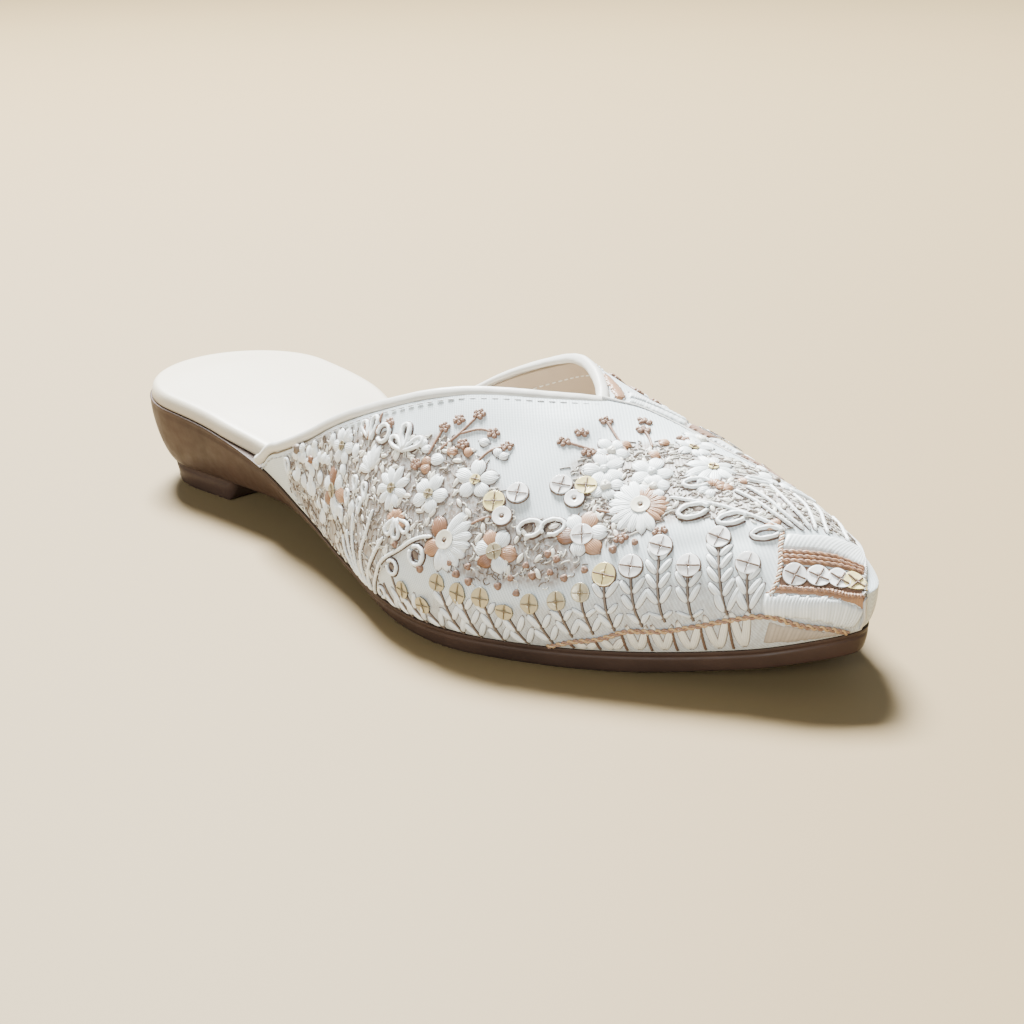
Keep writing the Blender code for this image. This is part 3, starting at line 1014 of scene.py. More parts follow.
@dataclass
class SoleUnit:
    """Moulded sole with its heel block: a bead at the top edge, a hull side and a treaded face."""

    shop: Workshop
    hull_power: float = 1.6
    hull_steps: int = 22
    block_front: float = 42.0
    block_fillet: float = 5.0
    bead_height: float = 1.1
    bead_groove: float = 0.35
    bead_inset: float = 0.25
    groove_width: float = 0.28
    step_power: float = 1.3
    crease_depth: float = 0.35
    block_edge: tuple[tuple[float, float, float], ...] = (
        (0.2, 0.03, 0.2), (-0.5, 0.12, 0.8), (0.0, 0.5, 1.3), (0.3, 0.88, 1.8), (1.1, 1.0, 3.0),
    )
    tread_pitch: float = 5.0
    tread_depth: float = 0.6
    tread_margin: float = 0.12
    tread_heel: tuple[float, float] = (8.0, 36.0)
    tread_ball: tuple[float, float] = (130.0, 205.0)
    stations: int = 200
    across: int = 40

    def rows(self) -> Array:
        """Stations of the sections, close together round the heel and the toe.

        Returns:
            The stations.
        """
        last = self.shop.last
        turn = np.linspace(0.0, math.pi / 2, 22)
        heel = last.heel_round * (1.0 - np.cos(turn))
        toe = last.length - last.toe_round * (1.0 - np.sin(turn))
        body = np.linspace(last.heel_round, last.length - last.toe_round, self.stations)[1:-1]
        return np.concatenate([heel, body, toe])

    def wall(self, station: Array) -> tuple[list[Array], list[Array]]:
        """Insets and heights of the side, from the top edge down to the edge of the flat face.

        Args:
            station: Stations along the sole.

        Returns:
            A list of insets from the feather edge and a list of heights, one for each ring.
        """
        last = self.shop.last
        feather = last.sole("feather", station)
        underside = np.maximum(last.sole("underside", station), 0.0)
        turn = last.sole("turn", station)
        past_block = np.clip((station - self.block_front) / self.block_fillet, 0, 1)
        block = 0.5 + 0.5 * np.cos(math.pi * past_block)
        depth = feather - underside
        insets = [turn * 0 + self.bead_inset]
        heights = [feather + 0.0]
        for share in np.linspace(0.0, 1.0, self.hull_steps) ** self.step_power:
            down = share * depth
            groove = self.bead_groove * np.exp(-(((down - self.bead_height) / self.groove_width) ** 2))
            body = turn * (1.0 - (1.0 - share**self.hull_power) ** (1 / self.hull_power))
            insets.append(body + groove)
            heights.append(np.maximum(feather - down - 0.02, underside))
        crease = self.crease_depth * block
        for step, (inset, drop, flat) in enumerate(self.block_edge):
            insets.append(turn + flat + (inset - flat) * block + crease * (step == 0))
            heights.append(underside * (1.0 - drop * block))
        return insets, heights

    def build(self) -> None:
        """Make the sole."""
        last = self.shop.last
        station = self.rows()
        insets, heights = self.wall(station)
        sheets = Sheets()
        walls = {}
        for side in (-1, 1):
            rings = [last.edge_points(station, side, *place) for place in zip(insets, heights)]
            walls[side] = np.stack(rings)
            sheets.add(walls[side], grid_faces(len(rings), len(station), flip=side < 0))
        for index, flip in ((0, False), (-1, True)):
            face = fill_between(walls[-1][index], walls[1][index], self.across)
            if flip:
                face = self.treaded(face)
            sheets.add(face, grid_faces(self.across, len(station), flip=not flip))
        piece = self.shop.piece("sole", sheets, Finish.SOLE, "moulded_sole")
        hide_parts("sole_unit")

    def treaded(self, face: Array) -> Array:
        """The walking face with shallow grooves across the heel block and the forefoot.

        Args:
            face: Points of the flat face.

        Returns:
            The points with the grooves pressed in.
        """
        face = face.copy()
        x = face[..., 0]
        inner = np.linspace(0.0, 1.0, self.across)[:, None]
        clear = window(inner, self.tread_margin, 1.0 - self.tread_margin, 0.06)
        heel = window(x, *self.tread_heel, 3.0)
        ball = window(x, *self.tread_ball, 4.0)
        ridge = ease((np.cos(2 * math.pi * x / self.tread_pitch) - 0.45) / 0.3)
        face[..., 2] += self.tread_depth * ridge * clear * np.maximum(heel, ball)
        return face


@dataclass
class Footbed:
    """Padded insole: cream cover wrapped over a rounded edge, a little crowned."""

    shop: Workshop
    thickness: float = 3.6
    open_inset: float = 0.6
    under_inset: float = 3.4
    narrowing: tuple[float, float] = (50.0, 76.0)
    crown: float = 0.7
    across: int = 36
    edge_steps: int = 14
    edge_reach: float = 3.2
    base_inset: float = 0.7
    heel_fade: float = 14.0
    toe_fade: float = 20.0

    def build(self, rows: Array) -> None:
        """Make the footbed over the sole's sections.

        Args:
            rows: Stations of the sections.
        """
        last = self.shop.last
        first, end = self.narrowing
        tucked = ease((rows - first) / (end - first))
        narrow = self.open_inset + (self.under_inset - self.open_inset) * tucked
        base = last.sole("feather", rows) + last.gap
        sheets = Sheets()
        tops = {}
        angle = np.linspace(0.0, math.pi / 2, self.edge_steps)
        for side in (-1, 1):
            rings = [last.edge_points(rows, side, narrow + self.base_inset, base)]
            for turn in angle:
                inset = narrow + self.edge_reach * (1 - math.cos(turn) ** 0.5)
                height = base + self.thickness * math.sin(turn) ** 0.9
                rings.append(last.edge_points(rows, side, inset, height))
            tops[side] = rings
            sheets.add(np.stack(rings), grid_faces(len(rings), len(rows), flip=side < 0))
        bottom = fill_between(tops[-1][0], tops[1][0], self.across)
        sheets.add(bottom, grid_faces(self.across, len(rows)))
        top = fill_between(tops[-1][-1], tops[1][-1], self.across)
        inner = np.linspace(0.0, 1.0, self.across)[:, None]
        open_end = ease(rows / self.heel_fade) * ease((last.length - rows) / self.toe_fade)
        top[..., 2] += self.crown * (4 * inner * (1 - inner)) ** 1.5 * open_end[None, :]
        sheets.add(top, grid_faces(self.across, len(rows), flip=True))
        piece = self.shop.piece("footbed_pad", sheets, Finish.FOOTBED, "footbed_cover")
        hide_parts("footbed")


@dataclass
class Upper:
    """The vamp: net over satin outside, a tan lining inside, and a rolled topline binding."""

    shop: Workshop
    columns: int = 201
    rows: int = 150
    cloth_depth: float = 1.0
    lining_depth: tuple[float, float] = (1.08, 2.0)
    binding_width: float = 2.7
    binding_thickness: float = 2.6
    binding_gap: float = 0.45
    binding_end: float = 0.992
    binding_lap: float = 0.035
    binding_squareness: float = 0.75
    binding_steps: int = 260
    binding_sides: int = 16
    pucker: float = 0.09
    pucker_lengths: tuple[float, float] = (1.9, 0.83)
    wall: float = 2.0
    lining_past: float = 1.9
    inner_edge: float = 0.25

    def grid(
        self, lifts: tuple[float | None, float], rows: int, columns: int, past: float = 0.0
    ) -> tuple[Sheets, Array]:
        """Make a closed layer of the upper.

        Args:
            lifts: How far out its outer and inner faces lie; None for the cloth's own relief.
            rows: Points from the topline to the toe.
            columns: Points from the lateral to the medial feather.
            past: How far it runs on beyond the topline.

        Returns:
            The layer's points and faces, and the pattern place of each point.
        """
        last = self.shop.last
        around = np.linspace(-1.0, 1.0, columns)
        first = last.topline(around) - past * np.minimum(1.0, (1.0 - np.abs(around)) * 12.0)
        share = np.linspace(0.0, 1.0, rows)[:, None]
        along = first[None, :] + (last.tip - first[None, :]) * share
        around = np.broadcast_to(around, along.shape)
        faces = []
        for lift in lifts:
            height = last.relief(along, around) if lift is None else lift
            faces.append(last.surface(last.station(along), around, height))
        sheets = Sheets()
        sheets.add(faces[0], grid_faces(rows, columns, flip=True))
        sheets.add(faces[1], grid_faces(rows, columns))
        edges = ((0, slice(None)), (-1, slice(None)), (slice(None), 0), (slice(None), -1))
        for index, edge in enumerate(edges):
            rim = np.stack([faces[0][edge], faces[1][edge]])
            sheets.add(rim, grid_faces(2, rim.shape[1], flip=index in (1, 2)))
        flat = np.stack([along, last.up(along, around)], axis=-1)
        rims = [np.stack([flat[edge], flat[edge]]).reshape(-1, 2) for edge in edges]
        return sheets, np.concatenate([flat.reshape(-1, 2), flat.reshape(-1, 2), *rims])

    def build_cloth(self) -> None:
        """Make the outer cloth, with a mark on what close thread work covers and on the painted shade low
        along the feather edge.
        """
        sheets, chart = self.grid((None, -self.cloth_depth), self.rows, self.columns)
        piece = self.shop.piece("upper_cloth", sheets, Finish.CLOTH, "embroidered_cloth", chart)
        last = self.shop.last
        around = last.around(chart[:, 0], chart[:, 1])
        medial = around > last.panel_edge(chart[:, 0])
        up = np.where(medial, last.up(chart[:, 0], -around), chart[:, 1])
        # The mark: the tint of close stitching, and painted shade low along the feather edge.
        worked = np.zeros(len(chart))
        for ground, weight in GROUNDS:
            worked = np.maximum(worked, weight * inside(chart[:, 0], up, np.array(ground, float), 1.5))
        sewn = piece.data.attributes.new("sewn", "FLOAT", "POINT")
        sewn.data.foreach_set("value", worked.astype(np.float32))
        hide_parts("upper")

    def build_lining(self) -> None:
        """Make the lining, which shows inside the opening."""
        depths = (-self.lining_depth[0], -self.lining_depth[1])
        sheets, _ = self.grid(depths, self.rows // 2, self.columns // 2, self.lining_past)
        self.shop.piece("lining", sheets, Finish.LINING, None)

    def build_binding(self) -> None:
        """Make the rolled binding: the lateral length, and the medial length that it laps over."""
        last = self.shop.last
        lengths = {
            "binding_lateral": (-self.binding_end, self.binding_lap),
            "binding_medial": (0.0, self.binding_end),
        }
        for name, ends in lengths.items():
            around = np.linspace(*ends, self.binding_steps)
            middle, normal, past = last.topline_frame(around, self.wall / 2)
            middle = middle + past * (self.binding_gap + self.binding_width / 2)
            run = distances(middle)
            long, short = self.pucker_lengths
            ripple = self.pucker * (np.sin(run / long) + 0.6 * np.sin(run / short + 1.0))
            height = self.binding_thickness / 2 + ripple * 0.5
            width = np.full(len(run), self.binding_width / 2)
            points = sweep(middle, normal, width, height, self.binding_sides, self.binding_squareness)
            offset = points - middle[:, None]
            beyond = np.sum(offset * past[:, None], axis=-1)
            inner = ease(-np.sum(offset * normal[:, None], axis=-1) / 0.6)
            lifted = np.maximum(beyond, self.inner_edge) * inner + beyond * (1 - inner)
            points = points + past[:, None] * (lifted - beyond)[..., None]
            floor = last.sole("feather", points[..., 0]) + last.gap
            points[..., 2] = np.maximum(points[..., 2], floor)
            sheets = Sheets()
            sheets.tube(points)
            piece = self.shop.piece(name, sheets, Finish.BINDING, "binding")
            if name == "binding_lateral":
                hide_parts("topline_binding")


def inside(x: Array, y: Array, corners: Array, softness: float) -> Array:
    """How far places lie inside an outline: 0 outside, 1 inside, soft over some millimetres.

    Args:
        x: Places along.
        y: Places up.
        corners: Corners of the outline, in order.
        softness: Half the width of the soft edge.

    Returns:
        Shares from 0 to 1.
    """
    within = np.zeros(x.shape, bool)
    nearest = np.full(x.shape, 1e9)
    for start, end in zip(corners, np.roll(corners, -1, axis=0)):
        crosses = (start[1] > y) != (end[1] > y)
        rise = end[1] - start[1]
        meet = start[0] + (y - start[1]) / (rise if rise else 1e-9) * (end[0] - start[0])
        within ^= crosses & (x < meet)
        run = end - start
        share = np.clip(((x - start[0]) * run[0] + (y - start[1]) * run[1]) / (run @ run), 0, 1)
        apart = np.hypot(x - start[0] - share * run[0], y - start[1] - share * run[1])
        nearest = np.minimum(nearest, apart)
    return ease(0.5 + np.where(within, nearest, -nearest) / (2 * softness))


# Grounds of close stitching and, low along the feather, a ground of grey hatch and painted shade, walked
# round in (along, up).
REAR_GROUND = (
    (89, 12), (94, 19), (104, 25), (113, 30), (125, 35), (135, 38), (143, 41), (149, 44), (155, 43),
    (161, 40), (166, 36), (173, 29), (180, 31), (184, 25), (190, 20), (186, 15), (170, 14), (160, 17),
    (152, 18), (147, 13), (140, 6), (136, 2), (124, 1), (110, 1), (98, 1), (88, 4),
)
FRONT_GROUND = (
    (174, 45), (175, 51), (180, 57), (188, 62), (202, 64), (220, 58), (226, 47), (224, 37),
    (219, 31), (205, 33), (197, 31), (192, 24), (186, 29), (181, 35),
)
# Low along the feather, between the border plants and under the braid at the toe: no stitches of its own,
# only a tint that is partly grey hatch and partly painted shade.
EDGE_HATCH_AND_SHADE = (
    (138, 0), (146, 6), (160, 9), (176, 10), (192, 12), (200, 17), (222, 16), (226, 8), (241, 4), (241, 0),
)

# Each ground, and how strongly it tints the cloth; the edge ground's tint is partly grey hatch and partly
# painted shade.
GROUNDS = ((REAR_GROUND, 1.0), (FRONT_GROUND, 1.0), (EDGE_HATCH_AND_SHADE, 0.5))


# ---------- the stitches


class Side(Enum):
    """A side of the upper; the medial side is worked as the lateral one, turned over."""

    LATERAL = -1
    MEDIAL = 1


def raised(levels: tuple[float, float], ridge: Array) -> Array:
    """The first level in the furrows between threads, with the second added on the ridges."""
    return levels[0] + levels[1] * ridge


def follow(places: Path, step: float) -> tuple[Array, Array, Array]:
    """Read a smooth path through some places.

    Args:
        places: The places, along and up.
        step: Length between the points that are read.

    Returns:
        How far along the path the points lie, and their places along and up.
    """
    chart = np.array(places, float)
    knots = np.concatenate([[0.0], np.cumsum(np.hypot(*np.diff(chart, axis=0).T))])
    at = np.linspace(0.0, knots[-1], max(5, int(knots[-1] / step)))
    return at, smooth(at, knots, chart[:, 0]), smooth(at, knots, chart[:, 1])


# Reach, height and lightness of a knot's rings, as shares of its radius, from the foot up; the lightness is
# painted shade, dark at the foot and light on top.
KNOT_PROFILE = ((1.05, 0.92, 0.6, 0.12), (-0.06, 0.62, 1.05, 0.92), (0.25, 0.62, 0.9, 0.75))

# A cupped sequin's section, from its hole over the face and the rim and back underneath.
SEQUIN_REACH = (0.45, 0.8, 0.96, 1.0, 1.0, 0.5)
SEQUIN_HEIGHT = (0.0, 0.02, 0.09, 0.16, 0.14, 0.05, -0.08, -0.1)


@dataclass
class Needle:
    """Lays thread, cord and sequins on one side of the upper and keeps them by finish."""

    last: Last
    side: Side
    random: np.random.Generator
    hidden_margin: float = 0.16
    edge_margin: float = 0.025
    # skirt: width of the dark outline round each stitch, painted shade where it meets the cloth.
    skirt: float = 0.26
    open_width: float = 0.6
    thread: float = 0.42
    thread_points: int = 4
    ridge_power: float = 0.7
    satin_points: int = 10
    satin_base: float = 0.05
    satin_lift: tuple[float, float] = (0.82, 0.18)
    # Lightness in the furrows, and added on the ridges: painted shade between the threads.
    satin_tone: tuple[float, float] = (0.72, 0.28)
    satin_shades: tuple[float, float] = (0.82, 1.0)
    strip_points: int = 13
    strip_lift: tuple[float, float] = (0.86, 0.14)
    # Painted shade between the strip's threads, as for satin.
    strip_tone: tuple[float, float] = (0.66, 0.34)
    strip_shades: tuple[float, float] = (0.76, 1.0)
    ply_depth: float = 0.16
    path_step: float = 0.3
    anywhere: bool = False
    work: dict[Finish, Sheets] = field(default_factory=dict)

    def spread(self, place: Place, turn: float, x: Array, y: Array) -> tuple[Array, Array]:
        """Lay a small flat pattern round a charted place, as Last.spread does."""
        return self.last.spread((place[0], float(self.last.around(*place))), turn, x, y)

    def shows(self, along: Array, up: Array) -> Array:
        """Whether places lie on this side's cloth, clear of its edges and of the lateral panel.

        Args:
            along: Distances along the foot.
            up: Heights above the lateral feather.

        Returns:
            True where a place can be worked.
        """
        around = self.last.around(along, up)
        clear = self.last.holds(along, around)
        if self.anywhere:
            return clear
        edge = self.last.panel_edge(along)
        if self.side is Side.MEDIAL:
            return clear & (np.abs(around) > edge + self.hidden_margin) & (around < 0.0)
        return clear & (around < edge - self.edge_margin)

    def lay(
        self, finish: Finish, along: Array, around: Array, lift: Array, faces: Array, tone: Array
    ) -> None:
        """Press points onto the cloth, each at its own height above it.

        Args:
            finish: The thread or disc.
            along: Distances along the foot.
            around: Places around the upper.
            lift: Heights above the cloth.
            faces: Point numbers of each face.
            tone: How light each point is, from 0 to 1.
        """
        turned = self.side is Side.MEDIAL
        point, normal, _, _ = self.last.laid(along, -around if turned else around)
        sheet = self.work.setdefault(finish, Sheets())
        sheet.add(point + normal * lift[..., None], faces[:, ::-1] if turned else faces, tone)

    def satin(
        self, finish: Finish, place: Place, turn: float, length: float, width: float, rise: float = 0.6,
        fullness: float = 1.0, start: float = 0.0, jag: float = 0.3, blunt: float = 0.55,
    ) -> None:
        """Work a petal, leaf or bar of parallel threads.

        Args:
            finish: The thread.
            place: Where it starts, along and up.
            turn: Degrees from toe-ward to its length, positive towards the crown.
            length: Its length.
            width: Its greatest width.
            rise: Its height above the cloth.
            fullness: Above 1 it is widest near its end, below 1 near its start.
            start: How far past the place it begins.
            jag: How unevenly the threads end.
            blunt: Lower for squarer ends.
        """
        reach = np.array([0.0, start + length * 0.9])
        heading = math.radians(turn)
        ahead, up = reach * math.cos(heading), reach * math.sin(heading)
        if not np.all(self.shows(place[0] + ahead, place[1] + up)):
            return
        threads = max(3, round(width / self.thread))
        body = np.linspace(-1.0, 1.0, threads * self.thread_points + 1)
        skirt = 1 + 2 * self.skirt / width
        v = np.concatenate([[-skirt], body, [skirt]])[:, None]
        foot = self.skirt / length
        u = np.concatenate([[-foot], np.linspace(0.0, 1.0, self.satin_points), [1 + foot]])[None, :]
        strand = np.clip(((v + 1) / 2 * threads).astype(int), 0, threads - 1)[:, 0]
        ends = self.random.uniform(-jag, jag, threads)[strand][:, None]
        shape = np.sin(math.pi * np.clip(u, 0.02, 0.985) ** fullness) ** blunt
        x = start + length * u + ends * np.clip(u, 0, 1) ** 3
        y = v * width / 2 * shape
        ridge = np.abs(np.sin(math.pi * threads * (v + 1) / 2)) ** self.ridge_power
        swell = np.sin(math.pi * np.clip(u, 0.0, 1.0)) ** 0.45 * ((u > -0.01) & (u < 1.01))
        dome = np.sqrt(np.clip(1 - v**2, 0, 1)) * swell
        lift = self.satin_base + rise * dome * raised(self.satin_lift, ridge)
        shades = self.random.uniform(*self.satin_shades, threads)[strand][:, None]
        # Painted shade: darker towards the edges and in the furrows, dark on the skirt; shades are each
        # thread's own tone.
        tone = np.clip(dome * 2.4, 0, 1) * raised(self.satin_tone, ridge) * shades
        along, around = self.spread(place, turn, x, y)
        faces = grid_faces(len(v), u.shape[1], flip=True)
        self.lay(finish, along, around, np.broadcast_to(lift, along.shape), faces, tone)

    def strip(
        self, finish: Finish, foot: Path, top: Path, rise: float, jag: float,
        thread: float = 0.6,
    ) -> None:
        """Work a band of threads that cross from one path to another.

        Args:
            finish: The thread.
            foot: Places of the band's lower edge.
            top: Places of its upper edge.
            rise: Its height above the cloth.
            jag: How unevenly the threads end.
            thread: Width of a thread.
        """
        low, high = np.array(between(foot, top, 0.0)), np.array(between(foot, top, 1.0))
        threads = int(np.sum(np.hypot(*np.diff((low + high) / 2, axis=0).T)) / thread)
        at = np.linspace(0.0, len(low) - 1.0, threads * self.thread_points + 1)
        strand = np.clip((at / (len(low) - 1) * threads).astype(int), 0, threads - 1)
        knots = np.arange(len(low))
        foot_line = np.stack([np.interp(at, knots, low[:, axis]) for axis in (0, 1)], axis=1)
        top_line = np.stack([np.interp(at, knots, high[:, axis]) for axis in (0, 1)], axis=1)
        span = np.hypot(*(top_line - foot_line).T)[:, None]
        v = np.linspace(0.0, 1.0, self.strip_points)[None, :]
        uneven = self.random.uniform(-jag, jag, (2, threads))[:, strand, None] / span
        place = v + uneven[0] * (v > 0.9) - uneven[1] * (v < 0.1)
        chart = foot_line[:, None] * (1 - place[..., None]) + top_line[:, None] * place[..., None]
        ridge = np.abs(np.sin(math.pi * at / (len(low) - 1) * threads))[:, None] ** self.ridge_power
        dome = np.sin(math.pi * np.clip(v, 0.0, 1.0)) ** 0.4
        ends = np.minimum(at, at[-1] - at)[:, None]
        dome = dome * ease(ends / (0.05 * at[-1]) + 0.02)
        lift = rise * dome * raised(self.strip_lift, ridge) - 0.08 * (dome < 0.05)
        shades = self.random.uniform(*self.strip_shades, threads)[strand][:, None]
        # Painted shade: darker towards the strip's edges and in the furrows; shades are each thread's own
        # tone.
        tone = (0.30 + 0.70 * np.clip(dome * 1.5, 0, 1)) * raised(self.strip_tone, ridge) * shades
        around = self.last.around(chart[..., 0], chart[..., 1])
        faces = grid_faces(len(at), v.shape[1])
        self.lay(finish, chart[..., 0], around, lift, faces, tone)

    def tubes(
        self, finish: Finish, along: Array, up: Array, radius: Array | float, lift: Array | float,
        sides: int = 6, ply: float = 0.0, flat: float = 1.0, tone: float | None = None,
        around: Array | None = None,
    ) -> None:
        """Lay round threads along paths; a path that leaves the cloth is left out.

        Args:
            finish: The thread.
            along: Distances along, a row for each path.
            up: Heights above the feather, a row for each path.
            radius: Radius of the thread, for each path or each point.
            lift: Height of its middle above the cloth.
            sides: Points round the thread.
            ply: Length of one turn of its twist, or 0 for a plain thread.
            flat: Height of the thread for its width.
            tone: One tone all over, in place of a lit top and dark sides.
            around: Places around the upper, where they are known, in place of the heights.
        """
        along, up = np.atleast_2d(along), np.atleast_2d(up)
        if around is None:
            kept = np.all(self.shows(along, up), axis=1)
            if not kept.any():
                return
            along, up = along[kept], up[kept]
            around = self.last.around(along, up)
        around = np.atleast_2d(around)
        point, normal, _, _ = self.last.laid(along, -around if self.side is Side.MEDIAL else around)
        run = unit(np.gradient(point, axis=1))
        across = np.cross(run, normal)
        turns = np.arange(sides) / sides * 2 * math.pi
        travelled = np.cumsum(np.linalg.norm(np.diff(point, axis=1, prepend=point[:, :1]), axis=-1), axis=1)
        radius = np.broadcast_to(np.asarray(radius, float), along.shape)[..., None]
        twist = 0.0
        if ply:
            twist = np.cos(2 * (turns[None, None] - 2 * math.pi * travelled[..., None] / ply / 2))
            radius = radius * (1 + self.ply_depth * twist)
        lift = np.broadcast_to(np.asarray(lift, float), along.shape)[..., None]
        side_step = (radius * np.cos(turns))[..., None] * across[..., None, :]
        high_step = (radius * flat * np.sin(turns) + lift)[..., None] * normal[..., None, :]
        points = point[..., None, :] + side_step + high_step
        lit = 0.62 + 0.36 * np.sin(turns) + 0.14 * np.asarray(twist)
        tone = np.broadcast_to(lit if tone is None else tone, points.shape[:-1])
        self.work.setdefault(finish, Sheets()).add(points, self.tube_faces(*points.shape[:3]), tone)

    @staticmethod
    def tube_faces(paths: int, steps: int, sides: int) -> Array:
        """Faces of some closed tubes of an even number of sides.

        Args:
            paths: How many tubes there are.
            steps: Rings in each.
            sides: Points in each ring.

        Returns:
            Four point numbers for each face.
        """
        wall = grid_faces(steps, sides, wrap=True, flip=True)
        lid = end_faces(sides)
        starts = (np.arange(paths) * steps * sides)[:, None, None]
        parts = (wall, lid, lid[:, ::-1] + (steps - 1) * sides)
        return np.concatenate([(part[None] + starts).reshape(-1, 4) for part in parts])

    def cord(
        self, finish: Finish, places: Path, radius: float, lift: float, step: float = 0.4,
        ply: float = 1.1, taper: bool = True, shadow: float = 0.26,
    ) -> None:
        """Couch a twisted cord through some places.

        Args:
            finish: The thread.
            places: The places, along and up.
            radius: The cord's radius.
            lift: Height of its middle above the cloth.
            step: Length between its points.
            ply: Length of one turn of its twist, or 0 for a plain thread.
            taper: Make its ends finer.
            shadow: Width of the dark line on each side of it.
        """
        at, along, up = follow(places, step)
        edge = np.minimum(at, at[-1] - at)
        size = radius * (0.35 + 0.65 * ease(edge / (2.5 * radius) + 0.15)) if taper else radius
        if shadow:
            self.tubes(finish, along, up, size + shadow, 0.0, sides=4, flat=0.2, tone=0.0)
        self.tubes(finish, along, up, size, lift, sides=8, ply=ply)

    def loop(
        self, finish: Finish, place: Place, turn: float, length: float, width: float, radius: float
    ) -> None:
        """Work a looped (lazy daisy) stitch that starts and ends at a place, round a dark heart.

        Args:
            finish: The thread.
            place: Where it starts, along and up.
            turn: Degrees from toe-ward, positive towards the crown.
            length: Its length.
            width: Its width.
            radius: Radius of the thread.
        """
        t = np.linspace(0.0, 1.0, 22)
        if width > self.open_width * length:
            swing = np.radians(165.0 * (2 * t - 1))
            x = length * (0.55 + 0.45 * np.cos(swing))
            y = width / 2 * np.sin(swing)
        else:
            x = length * np.sin(math.pi * t) ** 0.9
            y = width / 2 * np.sin(2 * math.pi * t)
        angle = math.radians(turn)
        along = place[0] + x * math.cos(angle) - y * math.sin(angle)
        up = place[1] + x * math.sin(angle) + y * math.cos(angle)
        # A dark flat ring under the thread: painted shade round the loop.
        dark = radius + self.skirt * 1.3
        self.tubes(finish, along, up, dark, 0.0, sides=4, flat=0.2, tone=0.0)
        self.tubes(finish, along, up, radius, radius * 0.7, sides=8, ply=1.1)
        heart = {"rise": 0.18, "fullness": 1.2, "start": length * 0.2, "jag": 0.1}
        self.satin(Finish.TAUPE, place, turn, length * 0.6, width * 0.34, **heart)

    def knots(self, finish: Finish, places: Array, radius: float) -> None:
        """Work round French knots.

        Args:
            finish: The thread.
            places: Where they go, along and up.
            radius: Their radius.
        """
        places = places[self.shows(places[:, 0], places[:, 1])]
        spokes = 9
        reach, high, light = np.array(KNOT_PROFILE)[..., None]
        turns = np.arange(spokes) / spokes * 2 * math.pi
        sizes = radius * self.random.uniform(0.85, 1.12, len(places))
        for place, size in zip(places, sizes):
            swirl = 1 + 0.10 * np.sin(3 * turns + place[0])[None, :]
            x = size * reach * np.cos(turns) * swirl
            y = size * reach * np.sin(turns) * swirl
            along, around = self.spread(place, 0.0, x, y)
            tone = np.broadcast_to(light, x.shape)
            lift = np.broadcast_to(high * size * 0.95, x.shape) * swirl
            self.lay(finish, along, around, lift, grid_faces(len(reach), spokes, wrap=True), tone)

    def berry(self, finish: Finish, place: Place, spread: float = 0.85, knot: float = 0.62) -> None:
        """Work a berry: a ring of knots round one in the middle.

        Args:
            finish: The thread.
            place: Where it goes, along and up.
            spread: From its middle to the ring.
            knot: Radius of a knot.
        """
        turns = self.random.uniform(0, 1) + np.arange(5) / 5 * 2 * math.pi
        ring = np.stack([place[0] + spread * np.cos(turns), place[1] + spread * np.sin(turns)], axis=1)
        self.knots(finish, np.concatenate([ring, [place]]), knot)

    def sequin(
        self, disc: Finish, place: Place, radius: float = 2.35, base: float = 0.55, lean: float = 0.0,
        ring: bool = False, strand: float = 0.14, bar: float = 1.0,
    ) -> None:
        """Sew on a cupped sequin.

        Args:
            disc: Its finish.
            place: Where it goes.
            radius: Its radius.
            base: Its height above the cloth.
            lean: Turn in degrees of its crossed threads.
            ring: Leave its wide hole open, with no crossed threads.
            strand: Radius of the crossed threads.
            bar: How much thicker than that the first of them is, and thinner the second.
        """
        if not self.shows(np.array(place[0]), np.array(place[1])):
            return
        spokes = 28
        hole = 0.27 if ring else 0.12
        reach = np.array([hole, *SEQUIN_REACH, hole])[:, None] * radius
        high = np.array(SEQUIN_HEIGHT)[:, None]
        turns = np.arange(spokes) / spokes * 2 * math.pi
        x, y = reach * np.cos(turns), reach * np.sin(turns)
        tip_x, tip_y = self.random.uniform(-0.06, 0.06, 2)
        lift = base + high + tip_x * x + tip_y * y
        along, around = self.spread(place, 0.0, x, y)
        # Painted shade: the disc's rim is dark.
        tone = np.where(reach > 0.97 * radius, 0.0, 0.9) * np.ones_like(x)
        faces = grid_faces(len(reach) + 1, spokes, wrap=True) % x.size
        self.lay(disc, along, around, lift, faces, tone)
        if disc is not Finish.KHAKI_DISC:
            self.rim(place, radius)
        if ring:
            self.button(Finish.BROWN, place, hole * radius * 0.8, base - 0.3)
            return
        cross = Finish.OLIVE if disc is Finish.KHAKI_DISC else Finish.BROWN
        turned = math.radians(lean) + self.random.uniform(-0.16, 0.16)
        for spoke in range(4):
            angle = turned + spoke * math.pi / 2
            first = spoke % 2 == 0
            reach_out = np.linspace(0.1, radius * (1.02 + 0.1 * (bar - 1) * first), 6)
            thick = strand * (bar if first else 1 / bar)
            line = base + 0.12 + tip_x * reach_out * math.cos(angle) + tip_y * reach_out * math.sin(angle)
            line = line + np.array([0.10, 0.04, 0.04, 0.07, 0.08, -0.35])
            x, y = reach_out * math.cos(angle), reach_out * math.sin(angle)
            along, around = self.spread(place, 0.0, x, y)
            self.tubes(cross, along, along, thick, line, around=around)
        self.button(cross, place, 0.30, base + 0.10)

    def rim(self, place: Place, radius: float) -> None:
        """Work a dark line on the cloth round a sequin: a brown thread ring of painted shade at its rim.

        Args:
            place: The sequin's place, along and up.
            radius: The sequin's radius.
        """
        turns = np.linspace(0.0, 2 * math.pi, 25)
        x, y = radius * 1.02 * np.cos(turns), radius * 1.02 * np.sin(turns)
        along, around = self.spread(place, 0.0, x, y)
        self.tubes(Finish.BROWN, along, along, radius=0.2, lift=0.22, sides=4, around=around)

